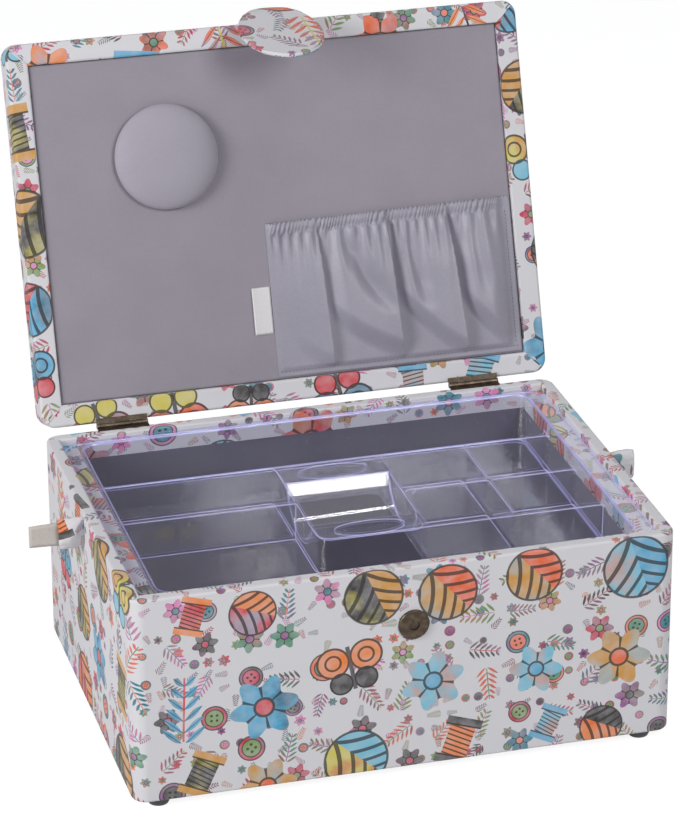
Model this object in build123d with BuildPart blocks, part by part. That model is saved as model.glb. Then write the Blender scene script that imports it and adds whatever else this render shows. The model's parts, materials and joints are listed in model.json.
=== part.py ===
"""Fabric-covered sewing box: hinged lid with a pin cushion and a pocket, lift-out tray, snap tab.

Millimetres, +Z up. The origin is on the floor under the middle of the box and the front faces -Y.
The lid stands open with the tab hanging forward, as the box is used.
"""
import os
from math import asin, atan2, cos, degrees, pi, radians, sin, tan

from build123d import *

# Box body
box_width = 325.0
box_depth = 235.0
box_height = 129.5
corner_radius = 9.0
board = 5.6
base_board_thickness = 6.0
cover = 1.2
lining = 1.2
floor_lining_thickness = 1.5
rim_bevel = 1.6
fold_share = 2 - 2 ** 0.5
turn_in = 15.0
turn_under = 14.0

# Rubber feet
foot_height = 6.0
foot_radius = 6.5
foot_inset_x = 16.5
foot_inset_y = 11.0

# Ledges that carry the tray
ledge_drop = 4.5
ledge_width = 10.5
ledge_turn = 12.0

# Clear tray
tray_depth = 33.0
tray_wall = 1.8
tray_flange = 2.0
tray_lip = 3.0
tray_gap = 0.6
tray_corner = 10.0
tray_draft = 1.5
pocket_corner = 3.0
floor_bevel = 1.6
partition_height = 24.0
rear_row = 48.0
front_row = 56.0
block_width = 65.5
block_round = 9.0
rear_bridge = 24.0
front_bridge = 19.5
trough_sag = 20.5
finger_length = 42.0
finger_width = 15.0

# Lid
lid_open = 109.0
lid_height = 21.0
lid_gap = 2.4
lid_rim = 13.5
lid_bevel = 3.0
lid_rim_bevel = 2.0
lid_inner_round = 1.8
lining_recess = 2.0
lining_panel = 4.0
panel_gap = 0.3
panel_ledge = 5.2

# Hinges
hinge_length = 32.0
hinge_inset = 49.5
hinge_out = 1.9
leaf_thickness = 0.9
leaf_depth = 4.8
knuckle_radius = 1.7
knuckle_gap = 0.3
pin_radius = 0.8
pin_gap = 0.06

# Pin cushion
cushion_from_side = 79.4
cushion_from_front = 62.7
cushion_radius = 32.5
cushion_foot = 29.0
cushion_height = 12.0
cushion_side_share = 0.36
cushion_brow_share = 0.72
crown_runs = 3
cushion_sides = 40
side_runs = 4

# Gathered pocket and tag
pocket_width = 158.5
pocket_depth = 98.1
pocket_edge = 1.2
hem_width = 8.0
cloth = 1.0
hem_cloth = 1.8
fold_count = 6
fold_rise = 1.5
hem_rise = 1.1
hem_bow = 4.6
belly_bow = 5.4
seam_bow = 0.8
belly_share = 0.42
tag_width = 10.7
tag_length = 29.3
tag_thickness = 0.8
tag_gap = 1.7
tag_drop = 55.6

# Snap and tab
clasp_offset = 3.5
snap_drop = 36.8
snap_radius = 9.2
snap_base_thickness = 1.6
snap_cap_thickness = 1.4
snap_gap = 0.3
snap_socket = 3.2
socket_depth = 0.8
shank_radius = 2.4
washer_radius = 7.0
washer_thickness = 1.2
tab_tip_radius = 25.0
tab_tip_angle = 15.0
tab_reach = 65.0
tab_hinge_width = 36.0
tab_root_length = 10.0
tab_thickness = 2.8
tab_bevel = 0.9
tab_droop = 27.0
tab_seam_gap = 0.4
root_edge = 2.0

# Carrying strap ends
strap_y = 3.0
strap_drop = 11.5
keeper_height = 19.5
keeper_bulge = 8.0
keeper_reach = 16.0
keeper_round = 3.6
strap_height = 15.6
strap_tip_height = 13.0
strap_thickness = 1.6
strap_reach = 32.5
strap_gap = 0.2
fold_inset = 1.5

# Levels and spans that follow from the sizes above
rim_top = foot_height + box_height
wall = cover + board + lining
core_width = box_width - 2 * cover
core_depth = box_depth - 2 * cover
inner_width = core_width - 2 * board
inner_depth = core_depth - 2 * board
clear_width = box_width - 2 * wall
clear_depth = box_depth - 2 * wall
base_bottom = foot_height + cover
base_top = base_bottom + base_board_thickness
ledge_top = rim_top - ledge_drop
turn_bottom = rim_top - turn_in
ledge_inner = clear_width / 2 - ledge_width
hinge_y = box_depth / 2 + hinge_out
hinge_z = rim_top + lid_gap / 2
snap_z = rim_top - snap_drop
strap_z = rim_top - strap_drop
lid_angle = radians(lid_open)


def swung(y, z):
    """A point of the closed lid, carried round the hinge to the open lid."""
    back, up = y - hinge_y, z - hinge_z
    return (0, hinge_y + back * cos(lid_angle) + up * sin(lid_angle),
            hinge_z - back * sin(lid_angle) + up * cos(lid_angle))


lid_plane = Plane(origin=swung(0, rim_top + lid_gap), x_dir=(1, 0, 0),
                  z_dir=(0, sin(lid_angle), cos(lid_angle)))

os.makedirs("parts", exist_ok=True)


def save(piece, name):
    """Label one piece and write its file."""
    piece.part.label = name
    export_step(piece.part, f"parts/{name}.step")


def face_at(base, point, normal):
    """A plane through a local point of a base plane, looking along one of its directions."""
    start = base.from_local_coords(point)
    along = base.from_local_coords(tuple(p + n for p, n in zip(point, normal))) - start
    return Plane(origin=start, z_dir=along)


def cut_off(body, planes):
    """The part of a body that lies in front of every plane."""
    with BuildPart() as piece:
        add(body)
        for plane in planes:
            split(bisect_by=plane, keep=Keep.TOP)
    return piece


def round_block(plane, size, corner, foot_edge, top_edge):
    """A block with round upright corners, its lower and upper edges eased."""
    width, depth, height = size
    with BuildPart() as block:
        with BuildSketch(plane):
            RectangleRounded(width, depth, corner)
        extrude(amount=height)
        upward = Axis(plane.origin, plane.z_dir)
        chamfer(block.faces().sort_by(upward)[0].edges(), foot_edge)
        chamfer(block.faces().sort_by(upward)[-1].edges(), top_edge)
    return block.part


def slab(plane, width, depth, thickness):
    """A square-cornered slab standing on a plane."""
    with BuildPart() as piece:
        with BuildSketch(plane):
            Rectangle(width, depth)
        extrude(amount=thickness)
    return piece


def bar(low, high):
    """A square bar between two opposite corners."""
    size = [b - a for a, b in zip(low, high)]
    with BuildPart() as piece:
        with Locations(low):
            Box(*size, align=(Align.MIN, Align.MIN, Align.MIN))
    return piece


def walls_of(body, base, half_width, half_depth, level, names):
    """Cut a frame into four walls: front and back run through, the sides stand between them."""
    above = face_at(base, (0, 0, level), (0, 0, 1))
    front = face_at(base, (0, -half_depth, 0), (0, -1, 0))
    back = face_at(base, (0, half_depth, 0), (0, 1, 0))
    behind_front = face_at(base, (0, -half_depth, 0), (0, 1, 0))
    before_back = face_at(base, (0, half_depth, 0), (0, -1, 0))
    left = face_at(base, (-half_width, 0, 0), (-1, 0, 0))
    right = face_at(base, (half_width, 0, 0), (1, 0, 0))
    cuts = ((above, front), (above, back),
            (above, left, behind_front, before_back), (above, right, behind_front, before_back))
    return {name: cut_off(body, planes) for name, planes in zip(names, cuts)}


# Walls and base, one board thick inside the cover
core = round_block(Plane.XY.offset(base_bottom), (core_width, core_depth, box_height - 2 * cover),
                   corner_radius - cover, rim_bevel - fold_share * cover, rim_bevel - fold_share * cover)
hollow = slab(Plane.XY.offset(base_top), inner_width, inner_depth, box_height)
with BuildPart() as carcass:
    add(core)
    add(hollow.part, mode=Mode.SUBTRACT)

base_board = cut_off(carcass.part, [face_at(Plane.XY, (0, 0, base_top), (0, 0, -1))])
save(base_board, "base_board")
boards = walls_of(carcass.part, Plane.XY, inner_width / 2, inner_depth / 2, base_top,
                  ("front_board", "back_board", "left_board", "right_board"))

# Snap on the front: the disc outside, its shank through the wall, a washer let into the inner face
front_face = Plane(origin=(clasp_offset, -box_depth / 2, snap_z), x_dir=(1, 0, 0), z_dir=(0, -1, 0))
inner_face = Plane(origin=(clasp_offset, -inner_depth / 2, snap_z), x_dir=(1, 0, 0), z_dir=(0, -1, 0))
with BuildPart() as snap_base:
    with BuildSketch(front_face):
        Circle(snap_radius)
    extrude(amount=snap_base_thickness)
    rim_edges = snap_base.faces().sort_by(Axis.Y)[0].edges()
    chamfer(rim_edges, snap_base_thickness / 3)
    with BuildSketch(front_face.offset(snap_base_thickness)):
        Circle(snap_socket)
    extrude(amount=-socket_depth, mode=Mode.SUBTRACT)
    with BuildSketch(front_face):
        Circle(shank_radius)
    extrude(amount=-(cover + board - washer_thickness))
save(snap_base, "snap_base")

with BuildPart() as snap_backing:
    with BuildSketch(inner_face):
        Circle(washer_radius)
    extrude(amount=washer_thickness)
save(snap_backing, "snap_backing")

with BuildPart() as front_board:
    add(boards["front_board"].part)
    add(snap_base.part, mode=Mode.SUBTRACT)
    add(snap_backing.part, mode=Mode.SUBTRACT)
save(front_board, "front_board")
for name in ("back_board", "left_board", "right_board"):
    save(boards[name], name)

# Printed cover: over the walls, turned down inside the rim and turned in below the base
skin = round_block(Plane.XY.offset(foot_height), (box_width, box_depth, box_height),
                   corner_radius, rim_bevel, rim_bevel)
with BuildPart() as box_cover:
    add(skin)
    with BuildSketch(Plane.XY.offset(base_top)):
        Rectangle(clear_width, clear_depth)
    extrude(amount=box_height, mode=Mode.SUBTRACT)
    fillet(box_cover.faces().sort_by(Axis.Z)[-1].inner_wires()[0].edges(), lining)
    add(carcass.part, mode=Mode.SUBTRACT)
    with BuildSketch(Plane.XY.offset(base_top)):
        Rectangle(inner_width, inner_depth)
    extrude(amount=turn_bottom - base_top, mode=Mode.SUBTRACT)
    with BuildSketch(Plane.XY.offset(turn_bottom)):
        Rectangle(inner_width, clear_depth)
    extrude(amount=ledge_top - turn_bottom, mode=Mode.SUBTRACT)
    with BuildSketch(Plane.XY.offset(foot_height)):
        Rectangle(box_width - 2 * turn_under, box_depth - 2 * turn_under)
    extrude(amount=cover, mode=Mode.SUBTRACT)
    add(snap_base.part, mode=Mode.SUBTRACT)
save(box_cover, "box_cover")

bottom_panel = slab(Plane.XY.offset(foot_height), box_width - 2 * turn_under,
                    box_depth - 2 * turn_under, cover)
save(bottom_panel, "bottom_panel")

# Feet at the four corners
for side, x in (("left", -1), ("right", 1)):
    for end, y in (("front", -1), ("rear", 1)):
        place = (x * (box_width / 2 - foot_inset_x), y * (box_depth / 2 - foot_inset_y), foot_height)
        with BuildPart() as foot:
            with BuildSketch(Plane(origin=place, z_dir=(0, 0, -1))):
                Circle(foot_radius)
            extrude(amount=foot_height)
        save(foot, f"{end}_{side}_foot")

# Side bearers, their printed ledges and the plain linings
for side, x in (("left", -1), ("right", 1)):
    outer = x * inner_width / 2
    middle = x * (ledge_inner + lining)
    inner = x * ledge_inner
    bearer = bar((min(outer, middle), -clear_depth / 2, base_top),
                 (max(outer, middle), clear_depth / 2, ledge_top - cover))
    save(bearer, f"{side}_bearer")
    with BuildPart() as ledge_cover:
        with BuildSketch(Plane(origin=(0, -clear_depth / 2, 0), x_dir=(1, 0, 0), z_dir=(0, -1, 0))):
            with BuildLine():
                Polyline((outer, ledge_top), (inner, ledge_top), (inner, ledge_top - ledge_turn),
                         (middle, ledge_top - ledge_turn), (middle, ledge_top - cover),
                         (outer, ledge_top - cover), close=True)
            make_face()
        extrude(amount=-clear_depth)
    save(ledge_cover, f"{side}_ledge_cover")
    side_lining = bar((min(inner, middle), -clear_depth / 2, base_top),
                      (max(inner, middle), clear_depth / 2, ledge_top - ledge_turn))
    save(side_lining, f"{side}_lining")

for end, y in (("front", -1), ("back", 1)):
    near, far = sorted((y * clear_depth / 2, y * inner_depth / 2))
    end_lining = bar((-inner_width / 2, near, base_top), (inner_width / 2, far, turn_bottom))
    save(end_lining, f"{end}_lining")
floor_lining = slab(Plane.XY.offset(base_top), 2 * ledge_inner, clear_depth, floor_lining_thickness)
save(floor_lining, "floor_lining")

# Carrying strap: a padded keeper on each side and the strap end that it holds
for side, x in (("left", -1), ("right", 1)):
    root = Plane(origin=(x * box_width / 2, strap_y, strap_z), x_dir=(0, 1, 0), z_dir=(x, 0, 0))
    with BuildPart() as keeper:
        with BuildSketch(root):
            RectangleRounded(keeper_bulge, keeper_height, keeper_round)
        extrude(amount=keeper_reach)
        chamfer(keeper.faces().sort_by(Axis(root.origin, root.z_dir))[-1].edges(), cover)
        with BuildSketch(root):
            Rectangle(2 * strap_thickness + 3 * strap_gap, strap_height + 2 * strap_gap)
        extrude(amount=keeper_reach, mode=Mode.SUBTRACT)
    save(keeper, f"{side}_strap_keeper")

with BuildPart() as left_strap:
    with BuildSketch(Plane(origin=(-box_width / 2, strap_y, strap_z), x_dir=(-1, 0, 0), z_dir=(0, 1, 0))):
        with BuildLine():
            Polyline((0, -strap_height / 2), (keeper_reach, -strap_height / 2),
                     (strap_reach, -strap_tip_height / 2), (strap_reach, strap_tip_height / 2),
                     (keeper_reach, strap_height / 2), (0, strap_height / 2), close=True)
        make_face()
    extrude(amount=strap_thickness / 2, both=True)
save(left_strap, "left_strap")

with BuildPart() as right_strap:
    with Locations((box_width / 2, strap_y, strap_z)):
        Box(keeper_reach - fold_inset, 2 * strap_thickness + strap_gap, strap_height,
            align=(Align.MIN, Align.CENTER, Align.CENTER))
save(right_strap, "right_strap")

# Clear tray: a drafted shell with a flange, a field of moulded pockets and a trough between bridges
tray_bottom = ledge_top + tray_flange - tray_depth
tray_top = ledge_top + tray_flange
partition_top = tray_bottom + tray_wall + partition_height - tray_wall / 2
tray_width = 2 * (ledge_inner - tray_gap)
flange_width = clear_width - 2 * tray_gap
flange_depth = clear_depth - 2 * tray_gap
tray_length = flange_depth - 2 * tray_lip
mouth_x = tray_width / 2 - tray_wall
mouth_y = tray_length / 2 - tray_wall
mouth_draft = (tray_top - partition_top) * tan(radians(tray_draft))
field_x = mouth_x - mouth_draft
field_y = mouth_y - mouth_draft
field_corner = tray_corner - tray_wall - mouth_draft
rear_line = field_y - rear_row
front_line = front_row - field_y
middle_line = (rear_line + front_line) / 2
column_line = (block_width / 2 + field_x) / 2
half_wall = tray_wall / 2
block_half = block_width / 2
trough_back = rear_line - rear_bridge
trough_front = front_line + front_bridge
trough_chord = trough_back - trough_front
trough_radius = (trough_chord ** 2 / 4 + trough_sag ** 2) / (2 * trough_sag)
trough_y = (trough_back + trough_front) / 2
trough_z = partition_top + trough_radius - trough_sag
trough_plane = Plane(origin=(0, trough_y, trough_z), z_dir=(1, 0, 0))
left_span = (-field_x, -block_half - half_wall)
right_spans = ((block_half + half_wall, column_line - half_wall), (column_line + half_wall, field_x))
near_row = (front_line + half_wall, middle_line - half_wall)
far_row = (middle_line + half_wall, rear_line - half_wall)
pockets = [(span, row, pocket_corner) for span in right_spans for row in (near_row, far_row)]
pockets.append((left_span, far_row, pocket_corner))
pockets.append(((-field_x, field_x), (rear_line + half_wall, field_y), field_corner))
block_corner = (-block_half - half_wall, front_line - half_wall)

with BuildPart() as trough_shell:
    with BuildSketch(trough_plane):
        Circle(trough_radius + tray_wall)
    extrude(amount=block_half, both=True)

with BuildPart() as block_hollow:
    with BuildSketch(Plane.XY.offset(tray_bottom)):
        with Locations((0, (rear_line + front_line) / 2)):
            RectangleRounded(block_width - tray_wall, rear_line - front_line - tray_wall,
                             block_round - tray_wall)
    extrude(amount=partition_top - tray_wall - tray_bottom)
    add(trough_shell.part, mode=Mode.SUBTRACT)

with BuildPart() as tray:
    with BuildSketch(Plane(origin=(0, 0, tray_top), x_dir=(1, 0, 0), z_dir=(0, 0, -1))):
        RectangleRounded(tray_width, tray_length, tray_corner)
    extrude(amount=tray_depth, taper=tray_draft)
    chamfer(tray.faces().sort_by(Axis.Z)[0].edges(), floor_bevel)
    with BuildSketch(Plane.XY.offset(ledge_top)):
        RectangleRounded(flange_width, flange_depth, tray_corner + tray_lip)
    extrude(amount=tray_flange)
    with BuildSketch(Plane(origin=(0, 0, tray_top), x_dir=(1, 0, 0), z_dir=(0, 0, -1))):
        RectangleRounded(2 * mouth_x, 2 * mouth_y, tray_corner - tray_wall)
    extrude(amount=tray_top - partition_top, taper=tray_draft, mode=Mode.SUBTRACT)
    for (x0, x1), (y0, y1), corner in pockets:
        with BuildSketch(Plane(origin=((x0 + x1) / 2, (y0 + y1) / 2, partition_top), z_dir=(0, 0, -1))):
            RectangleRounded(x1 - x0, y1 - y0, corner)
        extrude(amount=partition_top - tray_bottom - tray_wall, taper=tray_draft, mode=Mode.SUBTRACT)
    with BuildSketch(Plane.XY.offset(partition_top)) as front_pocket:
        with BuildLine():
            Polyline((-field_x, -field_y), (field_x, -field_y), (field_x, block_corner[1]), block_corner,
                     (block_corner[0], near_row[1]), (-field_x, near_row[1]), close=True)
        make_face()
        fillet(front_pocket.vertices().sort_by_distance(block_corner)[0], block_round)
        fillet(front_pocket.vertices().group_by(Axis.Y)[0], field_corner)
    extrude(amount=tray_bottom + tray_wall - partition_top, taper=tray_draft, mode=Mode.SUBTRACT)
    with BuildSketch(trough_plane):
        Circle(trough_radius)
    extrude(amount=block_half - half_wall, both=True, mode=Mode.SUBTRACT)
    add(block_hollow.part, mode=Mode.SUBTRACT)
    with BuildSketch(Plane.XY.offset(partition_top - tray_wall)):
        with Locations((0, rear_line - rear_bridge / 2),
                       (0, front_line + front_bridge / 2)):
            Ellipse(finger_length / 2, finger_width / 2)
    extrude(amount=tray_wall, mode=Mode.SUBTRACT)
save(tray, "tray")

# Lid boards: a flat board on four rails that carry the lining panel in a rebate
opening_width = box_width - 2 * lid_rim
opening_depth = box_depth - 2 * lid_rim
panel_top = lining_recess + lining_panel
board_bottom = lid_height - cover - board
lid_core = round_block(lid_plane.offset(cover), (core_width, core_depth, lid_height - 2 * cover),
                       corner_radius - cover, lid_rim_bevel - fold_share * cover, lid_bevel - fold_share * cover)
lid_recess = slab(lid_plane, opening_width + 2 * cover, opening_depth + 2 * cover, panel_top)
lid_hollow = slab(lid_plane.offset(panel_top), opening_width - 2 * panel_ledge + 2 * cover,
                  opening_depth - 2 * panel_ledge + 2 * cover, board_bottom - panel_top)
with BuildPart() as lid_frame:
    add(lid_core)
    add(lid_recess.part, mode=Mode.SUBTRACT)
    add(lid_hollow.part, mode=Mode.SUBTRACT)
lid_board = cut_off(lid_frame.part, [face_at(lid_plane, (0, 0, board_bottom), (0, 0, 1))])
save(lid_board, "lid_board")
below_board = cut_off(lid_frame.part, [face_at(lid_plane, (0, 0, board_bottom), (0, 0, -1))])
rails = walls_of(below_board.part, lid_plane, opening_width / 2 - panel_ledge + cover,
                 opening_depth / 2 - panel_ledge + cover, 0,
                 ("lid_front_rail", "lid_back_rail", "lid_left_rail", "lid_right_rail"))
for name, rail in rails.items():
    save(rail, name)

# Printed cover of the lid, turned in to the rebate
lid_skin = round_block(lid_plane, (box_width, box_depth, lid_height), corner_radius,
                       lid_rim_bevel, lid_bevel)
with BuildPart() as lid_cover:
    add(lid_skin)
    with BuildSketch(lid_plane):
        Rectangle(opening_width, opening_depth)
    extrude(amount=panel_top, mode=Mode.SUBTRACT)
    rim_lines = lid_cover.faces().sort_by(Axis(lid_plane.origin, lid_plane.z_dir))[0].inner_wires()[0].edges()
    fillet(rim_lines, lid_inner_round)
    add(lid_hollow.part, mode=Mode.SUBTRACT)
    add(lid_frame.part, mode=Mode.SUBTRACT)
save(lid_cover, "lid_cover")

lid_lining = slab(lid_plane.offset(lining_recess), opening_width - 2 * panel_gap,
                  opening_depth - 2 * panel_gap, lining_panel)
save(lid_lining, "lid_lining")

# Places on the lining, counted from its edges
panel_half_width = opening_width / 2 - panel_gap
panel_half_depth = opening_depth / 2 - panel_gap
cushion_x = cushion_from_side - panel_half_width
cushion_y = cushion_from_front - panel_half_depth
pocket_right = panel_half_width - pocket_edge
pocket_left = pocket_right - pocket_width
pocket_bottom = panel_half_depth - pocket_edge
pocket_top = pocket_bottom - pocket_depth
tag_y = pocket_top + tag_drop


def lining_section(x, y):
    """A plane square to the lid lining: its first axis runs along the lid, its second out of the lining."""
    return Plane(origin=lid_plane.from_local_coords((x, y, lining_recess)),
                 x_dir=lid_plane.x_dir, z_dir=lid_plane.y_dir)


# Pin cushion: drawn in at the foot, fullest low down, a soft crown
cushion_plane = Plane(origin=lid_plane.from_local_coords((cushion_x, cushion_y, lining_recess)),
                      x_dir=lid_plane.x_dir, z_dir=-lid_plane.z_dir)
brow_height = cushion_brow_share * cushion_height
crown_drop = cushion_height - brow_height
crown_radius = (cushion_foot ** 2 + crown_drop ** 2) / (2 * crown_drop)
crown_angle = degrees(asin(cushion_foot / crown_radius))
crown = CenterArc((0, cushion_height - crown_radius), crown_radius, 90, -crown_angle)
side = ThreePointArc(crown @ 1, (cushion_radius, cushion_side_share * cushion_height), (cushion_foot, 0))
bends = [side @ (1 - step / side_runs) for step in range(side_runs)]
bends += [crown @ (1 - step / crown_runs) for step in range(crown_runs)]
flat_share = cos(pi / cushion_sides)
with BuildPart() as pin_cushion:
    for low, high in zip(bends, bends[1:]):
        with BuildSketch(cushion_plane.offset(low.Y)):
            RegularPolygon(low.X, cushion_sides)
        lean = degrees(atan2(flat_share * (low.X - high.X), high.Y - low.Y))
        extrude(amount=high.Y - low.Y, taper=lean)
save(pin_cushion, "pin_cushion")


def gathers(y, bow, rise, thickness):
    """A section of gathered cloth: round folds on a bow, one cloth thick, sewn down at both ends."""
    pitch = (pocket_right - pocket_left) / fold_count
    shares = [2 * place / fold_count - 1 for place in range(fold_count + 1)]
    valleys = [(pocket_left + pitch * place, bow * (1 - share ** 2)) for place, share in enumerate(shares)]
    with BuildSketch(lining_section(0, y)) as section:
        with BuildLine():
            for (x0, h0), (x1, h1) in zip(valleys, valleys[1:]):
                ThreePointArc((x0, h0 + thickness), ((x0 + x1) / 2, (h0 + h1) / 2 + rise + thickness),
                              (x1, h1 + thickness))
                ThreePointArc((x0, h0), ((x0 + x1) / 2, (h0 + h1) / 2 + rise), (x1, h1))
            for x, h in (valleys[0], valleys[-1]):
                Line((x, h), (x, h + thickness))
        make_face()
    return section.sketch


# Gathered pocket below its elastic hem
hem_bottom = pocket_top + hem_width
belly_y = hem_bottom + belly_share * (pocket_bottom - hem_bottom)
pocket_sections = [gathers(y, bow, fold_rise, cloth) for y, bow in
                   ((hem_bottom, hem_bow), (belly_y, belly_bow), (pocket_bottom, seam_bow))]
with BuildPart() as pocket:
    loft(pocket_sections, ruled=True)
save(pocket, "pocket")

hem_section = gathers(pocket_top, hem_bow, hem_rise, hem_cloth)
with BuildPart() as pocket_hem:
    extrude(hem_section, amount=hem_width)
save(pocket_hem, "pocket_hem")

with BuildPart() as tag:
    with BuildSketch(lid_plane.offset(lining_recess)):
        with Locations((pocket_left - tag_gap - tag_width / 2, tag_y)):
            Rectangle(tag_width, tag_length)
    extrude(amount=-tag_thickness)
save(tag, "tag")

# Tab: the root sewn to the front of the lid, the flap that swings from it, the snap cap
tab_offset = snap_base_thickness + snap_gap + snap_cap_thickness + tab_thickness / 2
tab_axis = lid_plane.from_local_coords((clasp_offset, -box_depth / 2 - tab_offset, 0))
tab_angle = radians(lid_open - tab_droop)
root_plane = Plane(origin=tab_axis, x_dir=(1, 0, 0), z_dir=(0, -cos(lid_angle), sin(lid_angle)))
tab_plane = Plane(origin=tab_axis, x_dir=(1, 0, 0), z_dir=(0, -cos(tab_angle), sin(tab_angle)))

with BuildPart() as tab_flap:
    with BuildSketch(tab_plane):
        with BuildLine():
            tip = CenterArc((0, tab_tip_radius - tab_reach), tab_tip_radius, 180 + tab_tip_angle,
                            180 - 2 * tab_tip_angle)
            TangentArc(tip @ 1, (tab_hinge_width / 2, 0), tangent=tip % 1)
            TangentArc(tip @ 0, (-tab_hinge_width / 2, 0), tangent=tip % 0 * -1)
            Line((-tab_hinge_width / 2, 0), (tab_hinge_width / 2, 0))
        make_face()
    extrude(amount=tab_thickness / 2, both=True)
    chamfer(tab_flap.edges().filter_by(GeomType.CIRCLE), tab_bevel)
    with BuildSketch(Plane(origin=tab_axis, z_dir=(1, 0, 0))):
        Circle(tab_thickness / 2)
    extrude(amount=tab_hinge_width / 2 - tab_bevel, both=True)
save(tab_flap, "tab_flap")

with BuildPart() as tab_snap:
    with BuildSketch(tab_plane.offset(-tab_thickness / 2)):
        with Locations((0, -snap_drop - lid_gap)):
            Circle(snap_radius)
    extrude(amount=-snap_cap_thickness)
    chamfer(tab_snap.faces().sort_by(Axis(tab_plane.origin, tab_plane.z_dir))[0].edges(),
            snap_cap_thickness / 3)
save(tab_snap, "tab_snap")

root_low = tab_thickness / 2 + tab_seam_gap
with BuildPart() as tab_root:
    with BuildSketch(root_plane.offset(-tab_offset)):
        with BuildLine():
            ThreePointArc((-tab_hinge_width / 2, root_low), (0, tab_root_length),
                          (tab_hinge_width / 2, root_low))
            Line((-tab_hinge_width / 2, root_low), (tab_hinge_width / 2, root_low))
        make_face()
    extrude(amount=tab_offset + tab_thickness / 2)
    rise = tab_offset + tab_thickness / 2 - root_edge
    run = tab_root_length - root_low
    slope = face_at(root_plane, (0, root_low, tab_thickness / 2), (0, -rise, -run))
    split(bisect_by=slope, keep=Keep.TOP)
save(tab_root, "tab_root")


def hinge_rod(x, length, radius):
    """A rod on the hinge line, centred at one place along it."""
    with BuildPart() as rod:
        with BuildSketch(Plane(origin=(x, hinge_y, hinge_z), z_dir=(1, 0, 0))):
            Circle(radius)
        extrude(amount=length / 2, both=True)
    return rod


def hinge_leaf(base, thickness, x, own, other):
    """A leaf on one rim: its plate, its knuckles, and room for the other leaf's knuckles."""
    rods = [hinge_rod(x + place, knuckle_length, knuckle_radius) for place in own]
    rooms = [hinge_rod(x + place, knuckle_length + 2 * knuckle_gap, knuckle_radius + knuckle_gap)
             for place in other]
    bore = hinge_rod(x, hinge_length, pin_radius + pin_gap)
    with BuildPart() as leaf:
        with BuildSketch(base):
            with Locations((x, hinge_y - leaf_depth / 2)):
                Rectangle(hinge_length, leaf_depth)
        extrude(amount=thickness)
        for room in rooms:
            add(room.part, mode=Mode.SUBTRACT)
        for rod in rods:
            add(rod.part)
        add(bore.part, mode=Mode.SUBTRACT)
    return leaf


# Two hinges on the back rim
knuckle_length = (hinge_length - 2 * knuckle_gap) / 3
knuckle_step = knuckle_length + knuckle_gap
hinge_place = box_width / 2 - hinge_inset
for side, x in (("left", -hinge_place), ("right", hinge_place)):
    box_leaf = hinge_leaf(Plane.XY.offset(rim_top), leaf_thickness, x, (-knuckle_step, knuckle_step), (0,))
    save(box_leaf, f"{side}_box_leaf")
    lid_leaf = hinge_leaf(lid_plane, -leaf_thickness, x, (0,), (-knuckle_step, knuckle_step))
    save(lid_leaf, f"{side}_lid_leaf")
    save(hinge_rod(x, hinge_length, pin_radius), f"{side}_hinge_pin")
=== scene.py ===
# %% [markdown]
# # A fabric-covered sewing box
# The real box is a cardboard carcass under printed cotton. Its lined lid carries a pin cushion and a
# gathered pocket, and a clear moulded tray rests on two ledges inside. The CAD model is the fixed frame:
# its rigid pieces stay where they are, and its cloth is made again here. Everything is in metres.

# %% Load the frame
import json
import math

import bmesh
import bpy
from mathutils import Matrix, Vector, noise


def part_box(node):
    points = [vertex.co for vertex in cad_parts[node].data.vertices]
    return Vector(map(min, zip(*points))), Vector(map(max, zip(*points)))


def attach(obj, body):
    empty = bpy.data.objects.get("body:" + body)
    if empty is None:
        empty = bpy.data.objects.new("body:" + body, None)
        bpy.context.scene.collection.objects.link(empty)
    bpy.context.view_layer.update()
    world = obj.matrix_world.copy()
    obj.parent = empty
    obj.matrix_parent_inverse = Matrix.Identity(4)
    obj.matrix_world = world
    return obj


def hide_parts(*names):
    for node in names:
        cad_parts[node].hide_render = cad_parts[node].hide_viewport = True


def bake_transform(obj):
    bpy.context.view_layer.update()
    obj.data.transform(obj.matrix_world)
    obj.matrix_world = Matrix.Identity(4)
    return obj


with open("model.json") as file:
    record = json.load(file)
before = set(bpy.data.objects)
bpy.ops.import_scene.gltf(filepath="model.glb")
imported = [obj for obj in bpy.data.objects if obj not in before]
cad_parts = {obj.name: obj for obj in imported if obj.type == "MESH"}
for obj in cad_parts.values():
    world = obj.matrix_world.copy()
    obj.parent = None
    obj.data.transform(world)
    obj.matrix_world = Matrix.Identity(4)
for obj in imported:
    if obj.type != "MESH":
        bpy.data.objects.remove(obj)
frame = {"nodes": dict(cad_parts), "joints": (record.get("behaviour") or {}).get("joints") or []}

MM = 0.001
scene = bpy.context.scene
nodes = frame["nodes"]
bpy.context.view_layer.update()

# %% [markdown]
# ## Camera
# A product photograph like this one is taken with a long lens from a little above. A camera can be aimed
# by eye, but a direction, a distance and a focal length that fit the box's corners keep every edge
# parallel to the picture's, so those numbers are written down and the camera is turned from them.

# %% Camera
view_azimuth, view_elevation, view_roll = (math.radians(a) for a in (-15.44, 23.91, -0.30))
view_target, view_distance = Vector((-7.4, 0.0, 184.5)) * MM, 2251.6 * MM
backward = Vector((math.sin(view_azimuth) * math.cos(view_elevation),
                   -math.cos(view_azimuth) * math.cos(view_elevation), math.sin(view_elevation)))
level = Vector((math.cos(view_azimuth), math.sin(view_azimuth), 0))
rightward = level * math.cos(view_roll) + backward.cross(level) * math.sin(view_roll)
upward = backward.cross(rightward)

lens = bpy.data.cameras.new("camera")
lens.sensor_fit, lens.sensor_width, lens.lens = "HORIZONTAL", 36.0, 202.67
camera = bpy.data.objects.new("camera", lens)
turned = Matrix((rightward, upward, backward)).transposed().to_4x4()
camera.matrix_world = Matrix.Translation(view_target + backward * view_distance) @ turned
scene.collection.objects.link(camera)
scene.camera = camera
scene.view_settings.view_transform = "Standard"
print("camera at", [round(c, 3) for c in camera.location])

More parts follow.
